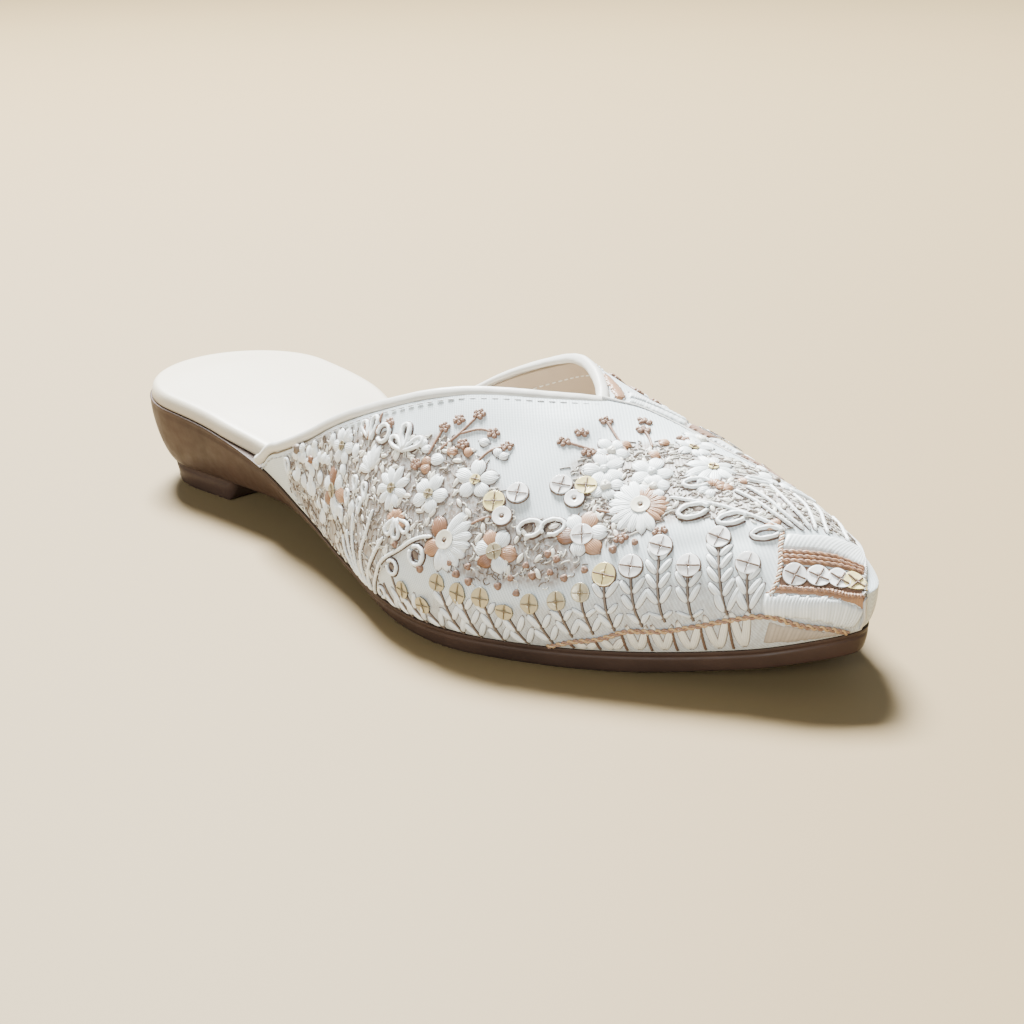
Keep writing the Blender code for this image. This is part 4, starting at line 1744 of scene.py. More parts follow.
    def button(self, finish: Finish, place: Place, radius: float, base: float) -> None:
        """Work one small knot on top of something.

        Args:
            finish: The thread.
            place: Where it goes, along and up.
            radius: Its radius.
            base: Height of its foot above the cloth.
        """
        turns = np.arange(8) / 8 * 2 * math.pi
        reach = np.array([1.0, 0.85, 0.1])[:, None] * radius
        high = np.array([0.0, 0.75, 1.0])[:, None] * radius
        x, y = reach * np.cos(turns), reach * np.sin(turns)
        along, around = self.spread(place, 0.0, x, y)
        lift = np.broadcast_to(base + high, along.shape)
        self.lay(finish, along, around, lift, grid_faces(3, 8, wrap=True), np.full(along.shape, 0.8))

    def scatter(self, ground: Array, count: int) -> tuple[Array, Array, Array]:
        """Draw places over the box round a ground: along, up, and how far inside it they lie.

        Args:
            ground: The ground's outline, along and up.
            count: How many to draw.

        Returns:
            Places along, places up, and a share from 0 outside the ground to 1 inside.
        """
        low, high = ground.min(axis=0), ground.max(axis=0)
        along = self.random.uniform(low[0], high[0], count)
        up = self.random.uniform(low[1], high[1], count)
        return along, up, inside(along, up, ground, 0.6)

    def scribble(self, finish: Finish, ground: Array, count: int, radius: float = 0.13) -> None:
        """Fill a ground with small wandering stitches.

        Args:
            finish: The thread.
            ground: The ground's outline, along and up.
            count: How many are drawn, before those off the ground are dropped.
            radius: Radius of the thread.
        """
        along, up, depth = self.scatter(ground, count)
        along, up = along[depth > 0.6], up[depth > 0.6]
        turn = self.random.uniform(0, 2 * math.pi, len(along))[:, None]
        bend = self.random.uniform(-3.4, 3.4, len(along))[:, None]
        size = self.random.uniform(1.2, 2.4, len(along))[:, None]
        steps = 5
        t = np.linspace(0.0, 1.0, steps)[None, :]
        heading = turn + bend * t
        x = np.cumsum(np.cos(heading), axis=1) * size / steps
        y = np.cumsum(np.sin(heading), axis=1) * size / steps
        self.tubes(finish, along[:, None] + x, up[:, None] + y, radius, radius * 0.8, sides=4)

    def seeds(self, finish: Finish, ground: Array, count: int, length: float, width: float) -> None:
        """Scatter small plump leaves over a ground.

        Args:
            finish: The thread.
            ground: The ground's outline, along and up.
            count: How many are drawn, before those off the ground are dropped.
            length: Length of a leaf.
            width: Width of a leaf.
        """
        along, up, depth = self.scatter(ground, count)
        turns = self.random.uniform(20.0, 160.0, count)
        for x, y, turn in np.stack([along, up, turns], axis=1)[depth > 0.9].tolist():
            size = self.random.uniform(0.8, 1.15)
            self.satin(finish, (x, y), turn, length * size, width * size, rise=0.4)

    def braid(
        self, first: Finish, second: Finish, places: Path, radius: float, swing: float,
        pitch: float,
    ) -> None:
        """Couch two strands twisted round each other.

        Args:
            first: One strand's thread.
            second: The other's.
            places: Places along and up that the braid runs through.
            radius: Radius of a strand.
            swing: How far each strand swings from the middle.
            pitch: Length of one turn of the braid.
        """
        at, along, up = follow(places, self.path_step)
        clear = self.shows(along, up + swing) & self.shows(along, up - swing)
        along, up, at = along[clear], up[clear], at[clear]
        heading = np.arctan2(np.gradient(up), np.gradient(along))
        for finish, phase in ((first, 0.0), (second, math.pi)):
            wave = 2 * math.pi * at / pitch + phase
            offset = swing * np.cos(wave)
            high = radius * 0.9 + 0.4 * swing * (1 + np.sin(wave))
            x, y = along - offset * np.sin(heading), up + offset * np.cos(heading)
            self.tubes(finish, x, y, radius, high, sides=8, ply=1.3)


# ---------- the charts


class Flower(NamedTuple):
    """An even flower of white petals: its place, size, the first petal's turn, and its eye."""

    along: float
    up: float
    petals: int
    reach: float
    turn: float
    eye: Finish


class Spray(NamedTuple):
    """Petals spread from one place, between two turns."""

    along: float
    up: float
    first: float
    last: float
    petals: int
    reach: float
    finish: Finish


class Plant(NamedTuple):
    """A border plant: the foot and the top of its stem, and the sequin on it."""

    foot: Place
    top: Place
    disc: Finish


# Short names for the charts.
WHITE, CREAM, PEACH, RUST, TAUPE = Finish.WHITE, Finish.CREAM, Finish.PEACH, Finish.RUST, Finish.TAUPE
KHAKI_DISC, GOLD_DISC = Finish.KHAKI_DISC, Finish.GOLD_DISC
PEARL_DISC, CREAM_DISC = Finish.PEARL_DISC, Finish.CREAM_DISC

FLOWERS = entries(
    Flower,
    (102, 18, 5, 3.9, 80, RUST), (94, 17, 5, 3.4, 100, TAUPE), (117, 28, 6, 4.4, 20, KHAKI_DISC),
    (142, 28, 9, 4.9, 10, KHAKI_DISC), (153, 30, 5, 4.3, 95, KHAKI_DISC),
    (161, 36, 5, 4.6, 115, GOLD_DISC), (180, 46, 5, 4.6, 70, WHITE), (188, 47, 5, 4.4, 100, WHITE),
    (183, 41, 5, 3.6, 30, CREAM), (196, 52, 9, 5.2, 0, GOLD_DISC), (191, 42, 4, 3.2, 45, CREAM),
    (178, 52, 5, 3.6, 20, CREAM), (188, 60, 6, 4.0, 20, GOLD_DISC), (204, 57, 6, 4.0, 10, TAUPE),
    (185, 68, 5, 4.0, 60, CREAM),
)

SPRAYS = entries(
    Spray,
    (116, 17, 124, 124, 1, 5.8, RUST), (116, 17, 231, 231, 1, 6.2, RUST),
    (116, 17, 8, 8, 1, 6.6, PEACH), (116, 17, 52, 52, 1, 5.6, WHITE),
    (116, 17, 178, 178, 1, 5.6, WHITE), (116, 17, 288, 288, 1, 5.8, WHITE),
    (161, 21, -82, 78, 8, 7.0, WHITE), (161, 21, 138, 138, 1, 5.6, RUST),
    (161, 21, 222, 222, 1, 5.6, PEACH), (172, 21, 130, 130, 1, 5.0, PEACH),
    (172, 21, 80, 80, 1, 5.2, WHITE), (172, 21, 8, 8, 1, 5.4, PEACH),
    (172, 21, -52, -52, 1, 5.4, WHITE), (172, 21, 238, 238, 1, 5.0, RUST),
    (172, 21, 182, 182, 1, 5.0, WHITE), (186, 27, 140, 140, 1, 5.2, WHITE),
    (186, 27, 195, 195, 1, 5.6, RUST), (186, 27, 88, 88, 1, 5.8, PEACH),
    (186, 27, 28, 28, 1, 5.4, WHITE), (186, 27, -32, -32, 1, 5.8, PEACH),
    (186, 27, -88, -88, 1, 5.0, WHITE), (192, 36, 133, 315, 10, 7.4, WHITE),
    (192, 36, -20, 112, 9, 6.2, PEACH), (145, 38, 40, 150, 3, 3.0, WHITE),
    (162, 42, 60, 120, 2, 3.0, WHITE), (156, 45, 20, 20, 1, 3.2, WHITE),
    (153, 38, 200, 200, 1, 4.2, WHITE), (133, 28.5, 108, 192, 5, 6.2, WHITE),
    (128.5, 34.4, 175, 175, 1, 3.2, PEACH), (129, 35, 96, 96, 1, 3.4, RUST),
    (106, 26, 100, 100, 1, 3.0, RUST), (146.3, 21.4, 15, 165, 5, 3.4, PEACH),
    (200.5, 43.5, 40, 140, 4, 3.2, PEACH), (200.5, 43.5, 235, 290, 2, 3.2, WHITE),
    (218.5, 29.6, 150, 190, 2, 3.2, PEACH), (98.5, 8.5, 115, 115, 1, 4.6, WHITE),
    (108, 14, 110, 110, 1, 4.0, WHITE), (112, 9, 110, 110, 1, 3.8, WHITE),
    (124, 27, 120, 120, 1, 4.2, WHITE), (121, 22, 150, 150, 1, 4.0, WHITE),
    (96, 14, 70, 135, 2, 4.2, WHITE), (101, 20, 55, 120, 2, 3.6, WHITE),
    (103, 9, 80, 140, 2, 4.0, WHITE), (107, 19, 65, 125, 2, 3.6, WHITE),
    (112, 25, 50, 115, 2, 3.6, WHITE), (109, 5, 100, 150, 2, 4.0, WHITE),
    (118, 29, 60, 120, 2, 3.4, WHITE), (120, 12, 90, 140, 2, 3.8, WHITE),
    (127, 15, 95, 95, 1, 4.0, WHITE), (110, 20, 70, 130, 2, 3.6, WHITE),
    (88, 14, 60, 150, 3, 3.4, WHITE), (95, 9, 110, 160, 2, 3.8, WHITE),
    (103, 10, 120, 170, 2, 3.8, WHITE), (108, 8, 130, 130, 1, 3.4, WHITE),
    (177, 55, 20, 20, 1, 3.6, PEACH), (185, 59, 200, 200, 1, 3.4, PEACH),
    (183, 54, 10, 10, 1, 3.6, PEACH), (201, 44, 30, 30, 1, 3.6, PEACH),
    (205, 46, 160, 160, 1, 3.4, PEACH), (151, 40, 30, 30, 1, 3.2, PEACH),
    (147, 35, 10, 60, 2, 3.4, PEACH), (157, 40, 130, 130, 1, 3.2, PEACH),
    (199, 63, 150, 150, 1, 4.0, WHITE), (193, 66, 20, 20, 1, 4.0, WHITE),
)

# Sequins, by how they are sewn: place and disc.
EYES = (
    (116, 17, KHAKI_DISC), (172, 21, KHAKI_DISC),
)

SEQUINS = (
    (167, 32, GOLD_DISC), (170, 35, PEARL_DISC), (176, 39, PEARL_DISC), (180, 40, GOLD_DISC),
    (186, 27, PEARL_DISC),
)

RINGS = (
    (170, 29, PEARL_DISC), (180, 36, PEARL_DISC), (161.3, 21.4, CREAM_DISC), (192, 36, CREAM_DISC),
)

# Looped stitches: where each starts, its turn, its length and its width's share of that.
LOOPS = (
    (141, 36.5, 114, 6.0, 0.36), (141, 36.5, 168, 5.2, 0.40), (141, 36.5, 48, 5.4, 0.36),
    (130.3, 35.6, 40, 4.8, 0.80), (128.5, 34.2, 100, 5.2, 0.42), (127, 34.2, 150, 4.2, 0.50),
    (107.5, 22.5, 112, 4.6, 0.50), (127.5, 21.5, 110, 3.4, 0.60), (133, 22, 120, 3.6, 0.55),
    (131, 18, 100, 3.4, 0.50), (124, 17, 100, 3.4, 0.55), (122, 12, 110, 3.4, 0.55),
    (118, 11, 110, 3.4, 0.55), (92, 13, 95, 4.2, 0.55), (87, 13, 110, 3.8, 0.55),
    (89, 8, 100, 3.8, 0.55), (146, 22.3, 245, 4.2, 0.50), (146.5, 22.3, 288, 4.2, 0.50),
    (147, 22.5, 338, 4.2, 0.50), (153.2, 18, -35, 4.6, 0.85), (146, 12.5, -15, 3.8, 0.75),
    (141, 2.5, 50, 3.6, 0.65), (175.5, 25, 75, 4.4, 0.95), (179.3, 26, 75, 4.4, 0.95),
    (204.2, 36, 200, 5.0, 0.90), (212, 33, 187, 4.8, 0.75), (219.6, 28.6, 184, 4.6, 0.70),
    (199.5, 45, 190, 4.4, 0.80), (207, 51, 196, 4.4, 0.70), (212, 56, 200, 4.4, 0.70),
)

BERRIES = (
    (153, 51), (148, 45), (158, 48), (162, 46), (154, 43), (146, 35), (150, 48), (125, 35), (133, 40),
    (170, 51), (171, 55), (172, 61), (178, 62), (175, 50), (184, 64), (176, 66), (199, 29), (193, 27),
)

KNOTS = (
    (182, 22), (181, 17), (184, 18), (187, 17), (179, 19), (166, 15), (168, 17), (169, 14), (179, 13),
    (184, 21), (190, 19), (177, 16), (164, 17), (175, 14), (196, 26), (193, 24), (157, 14), (148, 17),
)

STEMS = (
    ((128, 1.5), (125.5, 3.5), (123, 6), (121.5, 9)),
    ((131, 1), (128.5, 4), (126.5, 8), (125.5, 12)),
    ((132.5, 1), (130.3, 5), (129.3, 10), (128.5, 17)),
    ((135, 1), (133.7, 5), (134, 10), (136, 15), (137.5, 21.5)),
    ((136, 1.5), (137.3, 7), (140, 11.5), (143.3, 17.3)),
    ((137, 1), (141, 7.5), (143.3, 11.4), (149.6, 16.5), (155.3, 20.6), (158, 21.5)),
    ((219.5, 29.5), (212, 33.7), (203.5, 37.5), (195.5, 39)),
    ((220, 31), (215.5, 34.5), (210.5, 38.7), (204.5, 43)),
    ((221.5, 31), (216.5, 35.3), (211.3, 40.3), (205.3, 45.2)),
    ((222, 31.8), (219.5, 34.8), (214, 41), (206.5, 50)),
    ((222.7, 32.2), (219, 38.5), (215.5, 44), (210.5, 50)),
    ((223.7, 33.5), (220.7, 39), (217, 46), (213, 52)),
    ((225, 37), (222, 43), (219, 49), (215, 55)),
)

TWIGS = (
    ((150, 40), (152, 45), (153, 50)),
    ((152, 45), (156, 48), (158, 48)),
    ((159, 40), (160, 44), (162, 46)),
    ((148, 38), (148, 42), (148, 45)),
    ((165, 26), (167, 28), (169, 29)),
    ((180, 50), (174, 51), (170, 51)),
    ((181, 52), (175, 58), (172, 61)),
    ((183, 56), (180, 60), (178, 62)),
    ((185, 34), (190, 33), (193, 31)),
    ((128, 34), (129, 38), (129, 41)),
)

PLANTS = entries(
    Plant,
    ((147, 0.5), (144, 7), CREAM), ((152, 0.5), (148, 10), CREAM), ((157, 0.5), (152, 8), KHAKI_DISC),
    ((162, 0.5), (158, 6), KHAKI_DISC), ((167, 0.5), (162, 12), KHAKI_DISC),
    ((171, 0.5), (167, 11), KHAKI_DISC), ((176, 0.5), (172, 11), KHAKI_DISC),
    ((181, 0.5), (177, 9), KHAKI_DISC), ((186, 2), (182, 11), KHAKI_DISC),
    ((190, 4), (187, 12), KHAKI_DISC), ((194, 5), (191, 14), KHAKI_DISC),
    ((198, 6), (194, 18), GOLD_DISC), ((203, 7), (198, 20), PEARL_DISC),
    ((207, 8), (201, 25), PEARL_DISC), ((212, 8), (208, 20), PEARL_DISC),
    ((218, 9), (210, 27), PEARL_DISC), ((222, 9), (218, 20), PEARL_DISC),
)

FEATHER_BRAID = (
    (184, 0.5), (190, 3), (195, 4), (200, 6), (206, 6), (213, 7),
    (219, 8), (225, 8), (230, 5), (235, 3), (239, 1),
)

TOE_BAND_TOP = ((220, 29), (223, 30), (225, 36), (225, 42), (227, 48))
TOE_BRAID_TOP = ((221, 24), (224, 24.5), (227, 25), (229.5, 25.2), (232, 25))
TOE_BRAID_FOOT = ((223, 20), (226, 20), (229, 20), (232, 20), (234.5, 20))
TOE_CORD = ((225, 14), (229, 13), (233, 12), (237.5, 10), (242.5, 7.8))
TOE_BAR_TOP = ((223, 13), (228, 12), (232, 11), (237, 9), (242.9, 6.8))
TOE_BAR_FOOT = ((224, 8), (228, 7), (232, 5.4), (236, 3.4), (240, 1.8))
TOE_REAR = ((219.5, 28.5), (221.3, 24), (223, 20), (224.2, 16), (224.5, 12))
TOE_GUSSET_TOP = ((225, 7), (230, 4.2), (235, 2.2), (238, 1.2))
TOE_GUSSET_FOOT = ((224, 1.4), (229, 1), (234, 0.7), (238, 0.6))

FAR_BANDS = (
    (
        Finish.PEACH,
        ((166.8, 73), (165, 75.5), (162, 79), (159.5, 82), (156.5, 85)),
        ((167.6, 74), (166.4, 77), (163.8, 80.6), (161, 83.6), (157.8, 86.6)),
    ),
    (Finish.WHITE, ((168.2, 74.5), (171, 77), (176, 80)), ((166.8, 78), (168.5, 82), (173, 87))),
    (Finish.WHITE, ((166, 79), (168, 83.5), (172, 88)), ((163.5, 83), (166, 88), (170, 93))),
    (Finish.ROSE, ((176.3, 80), (178, 80.2), (180, 80)), ((173.5, 87), (176.5, 88), (179.5, 87))),
    (Finish.WHITE, ((180.5, 79.5), (183.5, 78.5), (187, 77)), ((180, 86.5), (183.5, 84), (187, 81))),
    (Finish.ROSE, ((187.5, 77), (193, 75), (198, 72)), ((187.5, 79.5), (193, 77.5), (198, 74))),
)


# ---------- the trim


@dataclass
class Trim:
    """A kind of trim, worked on both sides of the upper and made into pieces by its threads."""

    shop: Workshop
    seed: int = 0
    title: str = "trim"

    def work(self, needle: Needle) -> None:
        """Work the trim on one side."""
        raise NotImplementedError

    def build(self) -> None:
        """Work both sides and make their pieces."""
        for side in Side:
            needle = Needle(self.shop.last, side, np.random.default_rng(self.seed + side.value))
            self.work(needle)
            self.shop.take_off(needle, f"{self.title}_{side.name.lower()}")


@dataclass
class Ground(Trim):
    """Small wandering stitches that fill the cloth between the motifs."""

    seed: int = 11
    title: str = "ground"
    per_ground: tuple[int, ...] = (1720, 1250, 0)
    seed_leaves: tuple[int, ...] = (300, 150, 0)
    hidden_share: float = 0.6
    cream_share: float = 0.6

    def work(self, needle: Needle) -> None:
        """Fill each ground.

        Args:
            needle: The needle for that side.
        """
        share = self.hidden_share if needle.side is Side.MEDIAL else 1.0
        for (corners, _), count, leaves in zip(GROUNDS, self.per_ground, self.seed_leaves):
            outline = np.array(corners, float)
            needle.scribble(Finish.TAUPE, outline, int(count * share))
            needle.scribble(Finish.CREAM, outline, int(count * share * self.cream_share), radius=0.17)
            needle.seeds(Finish.CREAM, outline, int(leaves * share), length=2.4, width=1.1)


@dataclass
class Bouquets(Trim):
    """The two bouquets: stems, flowers, loops, berries, knots and sequins."""

    seed: int = 21
    title: str = "bouquet"
    petal_fullness: float = 1.25
    petal_rise: float = 0.66
    petal_start: float = 0.6
    flower_overlap: float = 0.2
    flower_petal: float = 3.5
    spray_petal: float = 3.9
    knot_radius: float = 0.85
    stem_radius: float = 0.40
    twig_radius: float = 0.30
    eye_radius: float = 1.2
    ring_radius: float = 1.75
    button_radius: float = 2.1
    loop_thread: tuple[float, float] = (0.15, 0.068)
    disc_lean: float = 22.0
    fan_overlap: float = 1.0

    def work(self, needle: Needle) -> None:
        """Work both bouquets.

        Args:
            needle: The needle for that side.
        """
        for stem in STEMS:
            needle.cord(Finish.WHITE, stem, self.stem_radius, lift=0.25)
        for twig in TWIGS:
            needle.cord(Finish.ROSE, twig, self.twig_radius, lift=0.2, ply=0.9, shadow=0.0)
        for flower in FLOWERS:
            self.flower(needle, flower)
        for spray in SPRAYS:
            self.spray(needle, spray)
        for along, up, turn, length, width in LOOPS:
            radius = self.loop_thread[0] + self.loop_thread[1] * length
            needle.loop(Finish.WHITE, (along, up), turn, length, length * width, radius)
        for berry in BERRIES:
            needle.berry(Finish.ROSE, berry)
        needle.knots(Finish.ROSE, np.array(KNOTS, float), self.knot_radius)
        for along, up, disc in EYES:
            needle.sequin(disc, (along, up), self.ring_radius, base=0.75, lean=self.disc_lean)
        for along, up, disc in SEQUINS:
            needle.sequin(disc, (along, up), base=0.7, lean=self.disc_lean)
        for along, up, disc in RINGS:
            needle.sequin(disc, (along, up), self.button_radius, base=0.7, ring=True)

    def flower(self, needle: Needle, flower: Flower) -> None:
        """Work an even flower and its eye.

        Args:
            needle: The needle for that side.
            flower: Its row of the chart.
        """
        place = (flower.along, flower.up)
        width = min(self.flower_petal, 2 * math.pi * flower.reach * 0.68 / flower.petals)
        for petal in range(flower.petals):
            turn = flower.turn + 360.0 * petal / flower.petals + needle.random.uniform(-6, 6)
            reach = flower.reach * needle.random.uniform(0.93, 1.05)
            self.petal(needle, Finish.WHITE, place, turn, reach - self.flower_overlap, width)
        if flower.eye in (Finish.KHAKI_DISC, Finish.GOLD_DISC, Finish.PEARL_DISC):
            needle.sequin(flower.eye, place, self.eye_radius, base=0.62, lean=self.disc_lean)
        else:
            needle.knots(flower.eye, np.array([place], float), self.eye_radius)

    def spray(self, needle: Needle, spray: Spray) -> None:
        """Work the petals of a spray.

        Args:
            needle: The needle for that side.
            spray: Its row of the chart.
        """
        place = (spray.along, spray.up)
        step = (spray.last - spray.first) / max(spray.petals - 1, 1)
        width = min(self.spray_petal, spray.reach * 0.70)
        if spray.petals > 2:
            width = min(width, math.radians(step) * spray.reach * self.fan_overlap)
        for petal in range(spray.petals):
            turn = spray.first + step * petal
            reach = spray.reach * needle.random.uniform(0.92, 1.05)
            self.petal(needle, spray.finish, place, turn, reach - self.petal_start, width)

    def petal(
        self, needle: Needle, finish: Finish, place: Place, turn: float, length: float, width: float
    ) -> None:
        """Work one petal, a little way out from the middle of its flower.

        Args:
            needle: The needle for that side.
            finish: The thread.
            place: The flower's middle, along and up.
            turn: Degrees from toe-ward, positive towards the crown.
            length: Its length.
            width: Its greatest width.
        """
        rise, fullness, start = self.petal_rise, self.petal_fullness, self.petal_start
        needle.satin(finish, place, turn, length, width, rise, fullness, start)


@dataclass
class Border(Trim):
    """Leafy plants that stand round the feather edge, and the braid that runs through them."""

    seed: int = 31
    title: str = "border"
    leaf_length: float = 3.8
    leaf_width: float = 1.4
    # Width of the dark outline round each leaf: painted shade where it meets the cloth.
    outline: float = 0.09
    medial_short: int = 3
    leaf_spreads: tuple[float, float] = (-48.0, 27.0)
    leaf_step: float = 3.4
    leaf_ends: dict[str, float] = field(default_factory=lambda: {"jag": 0.12, "blunt": 0.36})
    under_stems: tuple[float, ...] = (190.0, 195.0, 200.0, 204.5, 209.0, 214.0, 219.0, 223.0)

    def work(self, needle: Needle) -> None:
        """Work the plants, what shows of them under the braid, and the braid.

        Args:
            needle: The needle for that side.
        """
        needle.skirt = self.outline
        for plant in PLANTS:
            self.plant(needle, plant)
        self.under_braid(needle)
        lateral = needle.side is Side.LATERAL
        places = FEATHER_BRAID if lateral else FEATHER_BRAID[:-self.medial_short]
        needle.braid(Finish.ROSE, Finish.GOLD_THREAD, places, radius=0.30, swing=0.34, pitch=2.4)
        if lateral:
            # The strip under the braid is cream; its darker tan is painted shade.
            needle.strip(Finish.TAN, TOE_GUSSET_FOOT, TOE_GUSSET_TOP, rise=0.3, jag=0.2)

    def plant(self, needle: Needle, plant: Plant) -> None:
        """Work a stem, its pairs of leaves and its sequin.

        Args:
            needle: The needle for that side.
            plant: Its row of the chart.
        """
        run = np.array(plant.top, float) - np.array(plant.foot, float)
        height = float(np.hypot(*run))
        turn = math.degrees(math.atan2(run[1], run[0]))
        stem = (plant.foot, plant.top)
        needle.cord(Finish.TAUPE, stem, radius=0.22, lift=0.15, ply=1.0, taper=False, shadow=0.13)
        pairs = max(1, int((height - 1.0) / self.leaf_step))
        for pair in range(pairs):
            share = (pair * self.leaf_step + 0.4) / height
            place = (plant.foot[0] + run[0] * share, plant.foot[1] + run[1] * share)
            for spread in self.leaf_spreads:
                leaf = turn + spread + needle.random.uniform(-4, 4)
                length = self.leaf_length * needle.random.uniform(0.92, 1.06)
                size = (length, self.leaf_width)
                needle.satin(Finish.WHITE, place, leaf, *size, rise=0.66, start=0.45, **self.leaf_ends)
        if plant.disc is Finish.KHAKI_DISC:
            needle.sequin(plant.disc, plant.top, radius=2.0, base=0.5, strand=0.13)
        elif plant.disc is not Finish.CREAM:
            needle.sequin(plant.disc, plant.top, radius=2.45, base=0.6, bar=1.5)

    def under_braid(self, needle: Needle) -> None:
        """Work the stems and the leaves between the braid and the feather edge.

        Args:
            needle: The needle for that side.
        """
        chart = np.array(FEATHER_BRAID, float)
        for along, after in zip(self.under_stems, self.under_stems[1:]):
            top = float(np.interp(along, chart[:, 0], chart[:, 1])) - 0.6
            stem = ((along, 0.9), (along - 0.8, top))
            needle.cord(Finish.BROWN, stem, radius=0.3, lift=0.15, ply=1.0, taper=False, shadow=0.0)
            middle = (along + after) / 2
            depth = top - 0.8
            if depth < 1.5:
                continue
            reach = math.hypot((after - along) / 2, depth) * 0.95
            slope = math.degrees(math.atan2(depth, (after - along) / 2))
            for turn in (slope, 180.0 - slope):
                shape = {"rise": 0.55, "fullness": 0.9, "start": 0.1, **self.leaf_ends}
                needle.satin(Finish.CREAM, (middle, 1.0), turn, reach, 1.7, **shape)


@dataclass
class ToeBand(Trim):
    """The strips across the toe: satin bands, braids and a row of sequins."""

    seed: int = 41
    title: str = "toe_band"
    sequin_shares: tuple[float, ...] = (0.16, 0.40, 0.63, 0.84)
    sequin_radius: float = 2.45
    sequin_lean: float = 8.0
    sequin_base: float = 0.55
    end_margin: float = 0.02

    def work(self, needle: Needle) -> None:
        """Work the strips from the lowest up; they are on the lateral side only.

        Args:
            needle: The needle for that side.
        """
        if needle.side is Side.MEDIAL:
            return
        rows = (TOE_BAND_TOP, TOE_BRAID_TOP, TOE_BRAID_FOOT, TOE_CORD, TOE_BAR_TOP)
        band_top, braid_top, braid_foot, cord, bar_top = (self.to_edge(row) for row in rows)
        needle.strip(Finish.WHITE, TOE_BAR_FOOT, bar_top, rise=0.9, jag=0.35)
        needle.strip(Finish.WHITE, braid_top, band_top, rise=0.5, jag=0.15)
        needle.strip(Finish.PEACH, braid_foot, braid_top, rise=0.22, jag=0.35)
        needle.strip(Finish.ROSE, cord, braid_foot, rise=0.12, jag=0.1)
        needle.strip(Finish.PEACH, bar_top, cord, rise=0.22, jag=0.25)
        for share in (0.2, 0.5, 0.8):
            path = between(braid_foot, braid_top, share)
            needle.braid(Finish.PEACH, Finish.ROSE, path, radius=0.26, swing=0.34, pitch=1.7)
        needle.braid(Finish.PEACH, Finish.ROSE, cord, radius=0.28, swing=0.34, pitch=1.7)
        needle.braid(Finish.PEACH, Finish.CREAM, TOE_REAR, radius=0.24, swing=0.28, pitch=1.7)
        row = np.array(between(cord, braid_foot, 0.52))
        for index, share in enumerate(self.sequin_shares):
            at = share * (len(row) - 1)
            step = int(at)
            place = row[step] + (row[step + 1] - row[step]) * (at - step)
            disc = Finish.GOLD_DISC if index == len(self.sequin_shares) - 1 else Finish.PEARL_DISC
            centre = (float(place[0]), float(place[1]))
            needle.sequin(disc, centre, self.sequin_radius, self.sequin_base, self.sequin_lean, strand=0.2)

    def to_edge(self, row: Path) -> list[Place]:
        """A row of places whose last one is brought to the panel's front edge.

        Args:
            row: Places along and up.

        Returns:
            The places, with a new last one.
        """
        last = self.shop.last
        along = row[-1][0]
        around = float(last.panel_edge(along)) - self.end_margin
        return [*row[:-1], (along, float(last.up(along, around)))]


def between(first: Path, second: Path, share: float) -> list[Place]:
    """A path that lies between two others.

    Args:
        first: Places of the first path.
        second: Places of the second.
        share: 0 on the first path and 1 on the second.

    Returns:
        Places of the path between them.
    """
    at = np.linspace(0.0, 1.0, 12)
    paths = []
    for places in (first, second):
        chart = np.array(places, float)
        knots = np.linspace(0.0, 1.0, len(chart))
        paths.append(np.stack([smooth(at, knots, chart[:, 0]), smooth(at, knots, chart[:, 1])], axis=1))
    middle = paths[0] * (1 - share) + paths[1] * share
    return [(along, up) for along, up in middle.tolist()]


@dataclass
class PanelEdge:
    """The lateral panel's rolled front edge, and the patches and bands worked beyond it."""

    shop: Workshop
    first: float = 166.0
    end: float = 243.4
    radius: float = 0.75
    height: float = 0.5
    line: float = 0.3
    steps: int = 260

    def build(self) -> None:
        """Make the edge, the dark line of painted shade on each side of it, and the bands."""
        last = self.shop.last
        along = np.linspace(self.first, self.end, self.steps)
        point, normal, _, _ = last.laid(along, last.panel_edge(along) - 0.006)
        for name, finish, wide, high in (
            ("panel_edge_roll", Finish.BINDING, self.radius, self.height),
            # A wider, flatter grey strip under the roll: painted shade along each side of it.
            ("panel_edge_shade_line", Finish.GREY, self.radius + self.line, self.height * 0.3),
        ):
            size = np.full(len(along), wide)
            rings = sweep(point, normal, size, np.full(len(along), high), 10)
            sheets = Sheets()
            sheets.tube(rings, 0.9)
            self.shop.piece(name, sheets, finish, "binding")
        needle = Needle(last, Side.LATERAL, np.random.default_rng(51), anywhere=True)
        for finish, foot, top in FAR_BANDS:
            needle.strip(finish, foot, top, rise=0.7, jag=0.25)
            needle.cord(Finish.GREY, top, radius=0.16, lift=0.15, ply=0.0, taper=False, shadow=0.0)
        self.shop.take_off(needle, "far_bands")


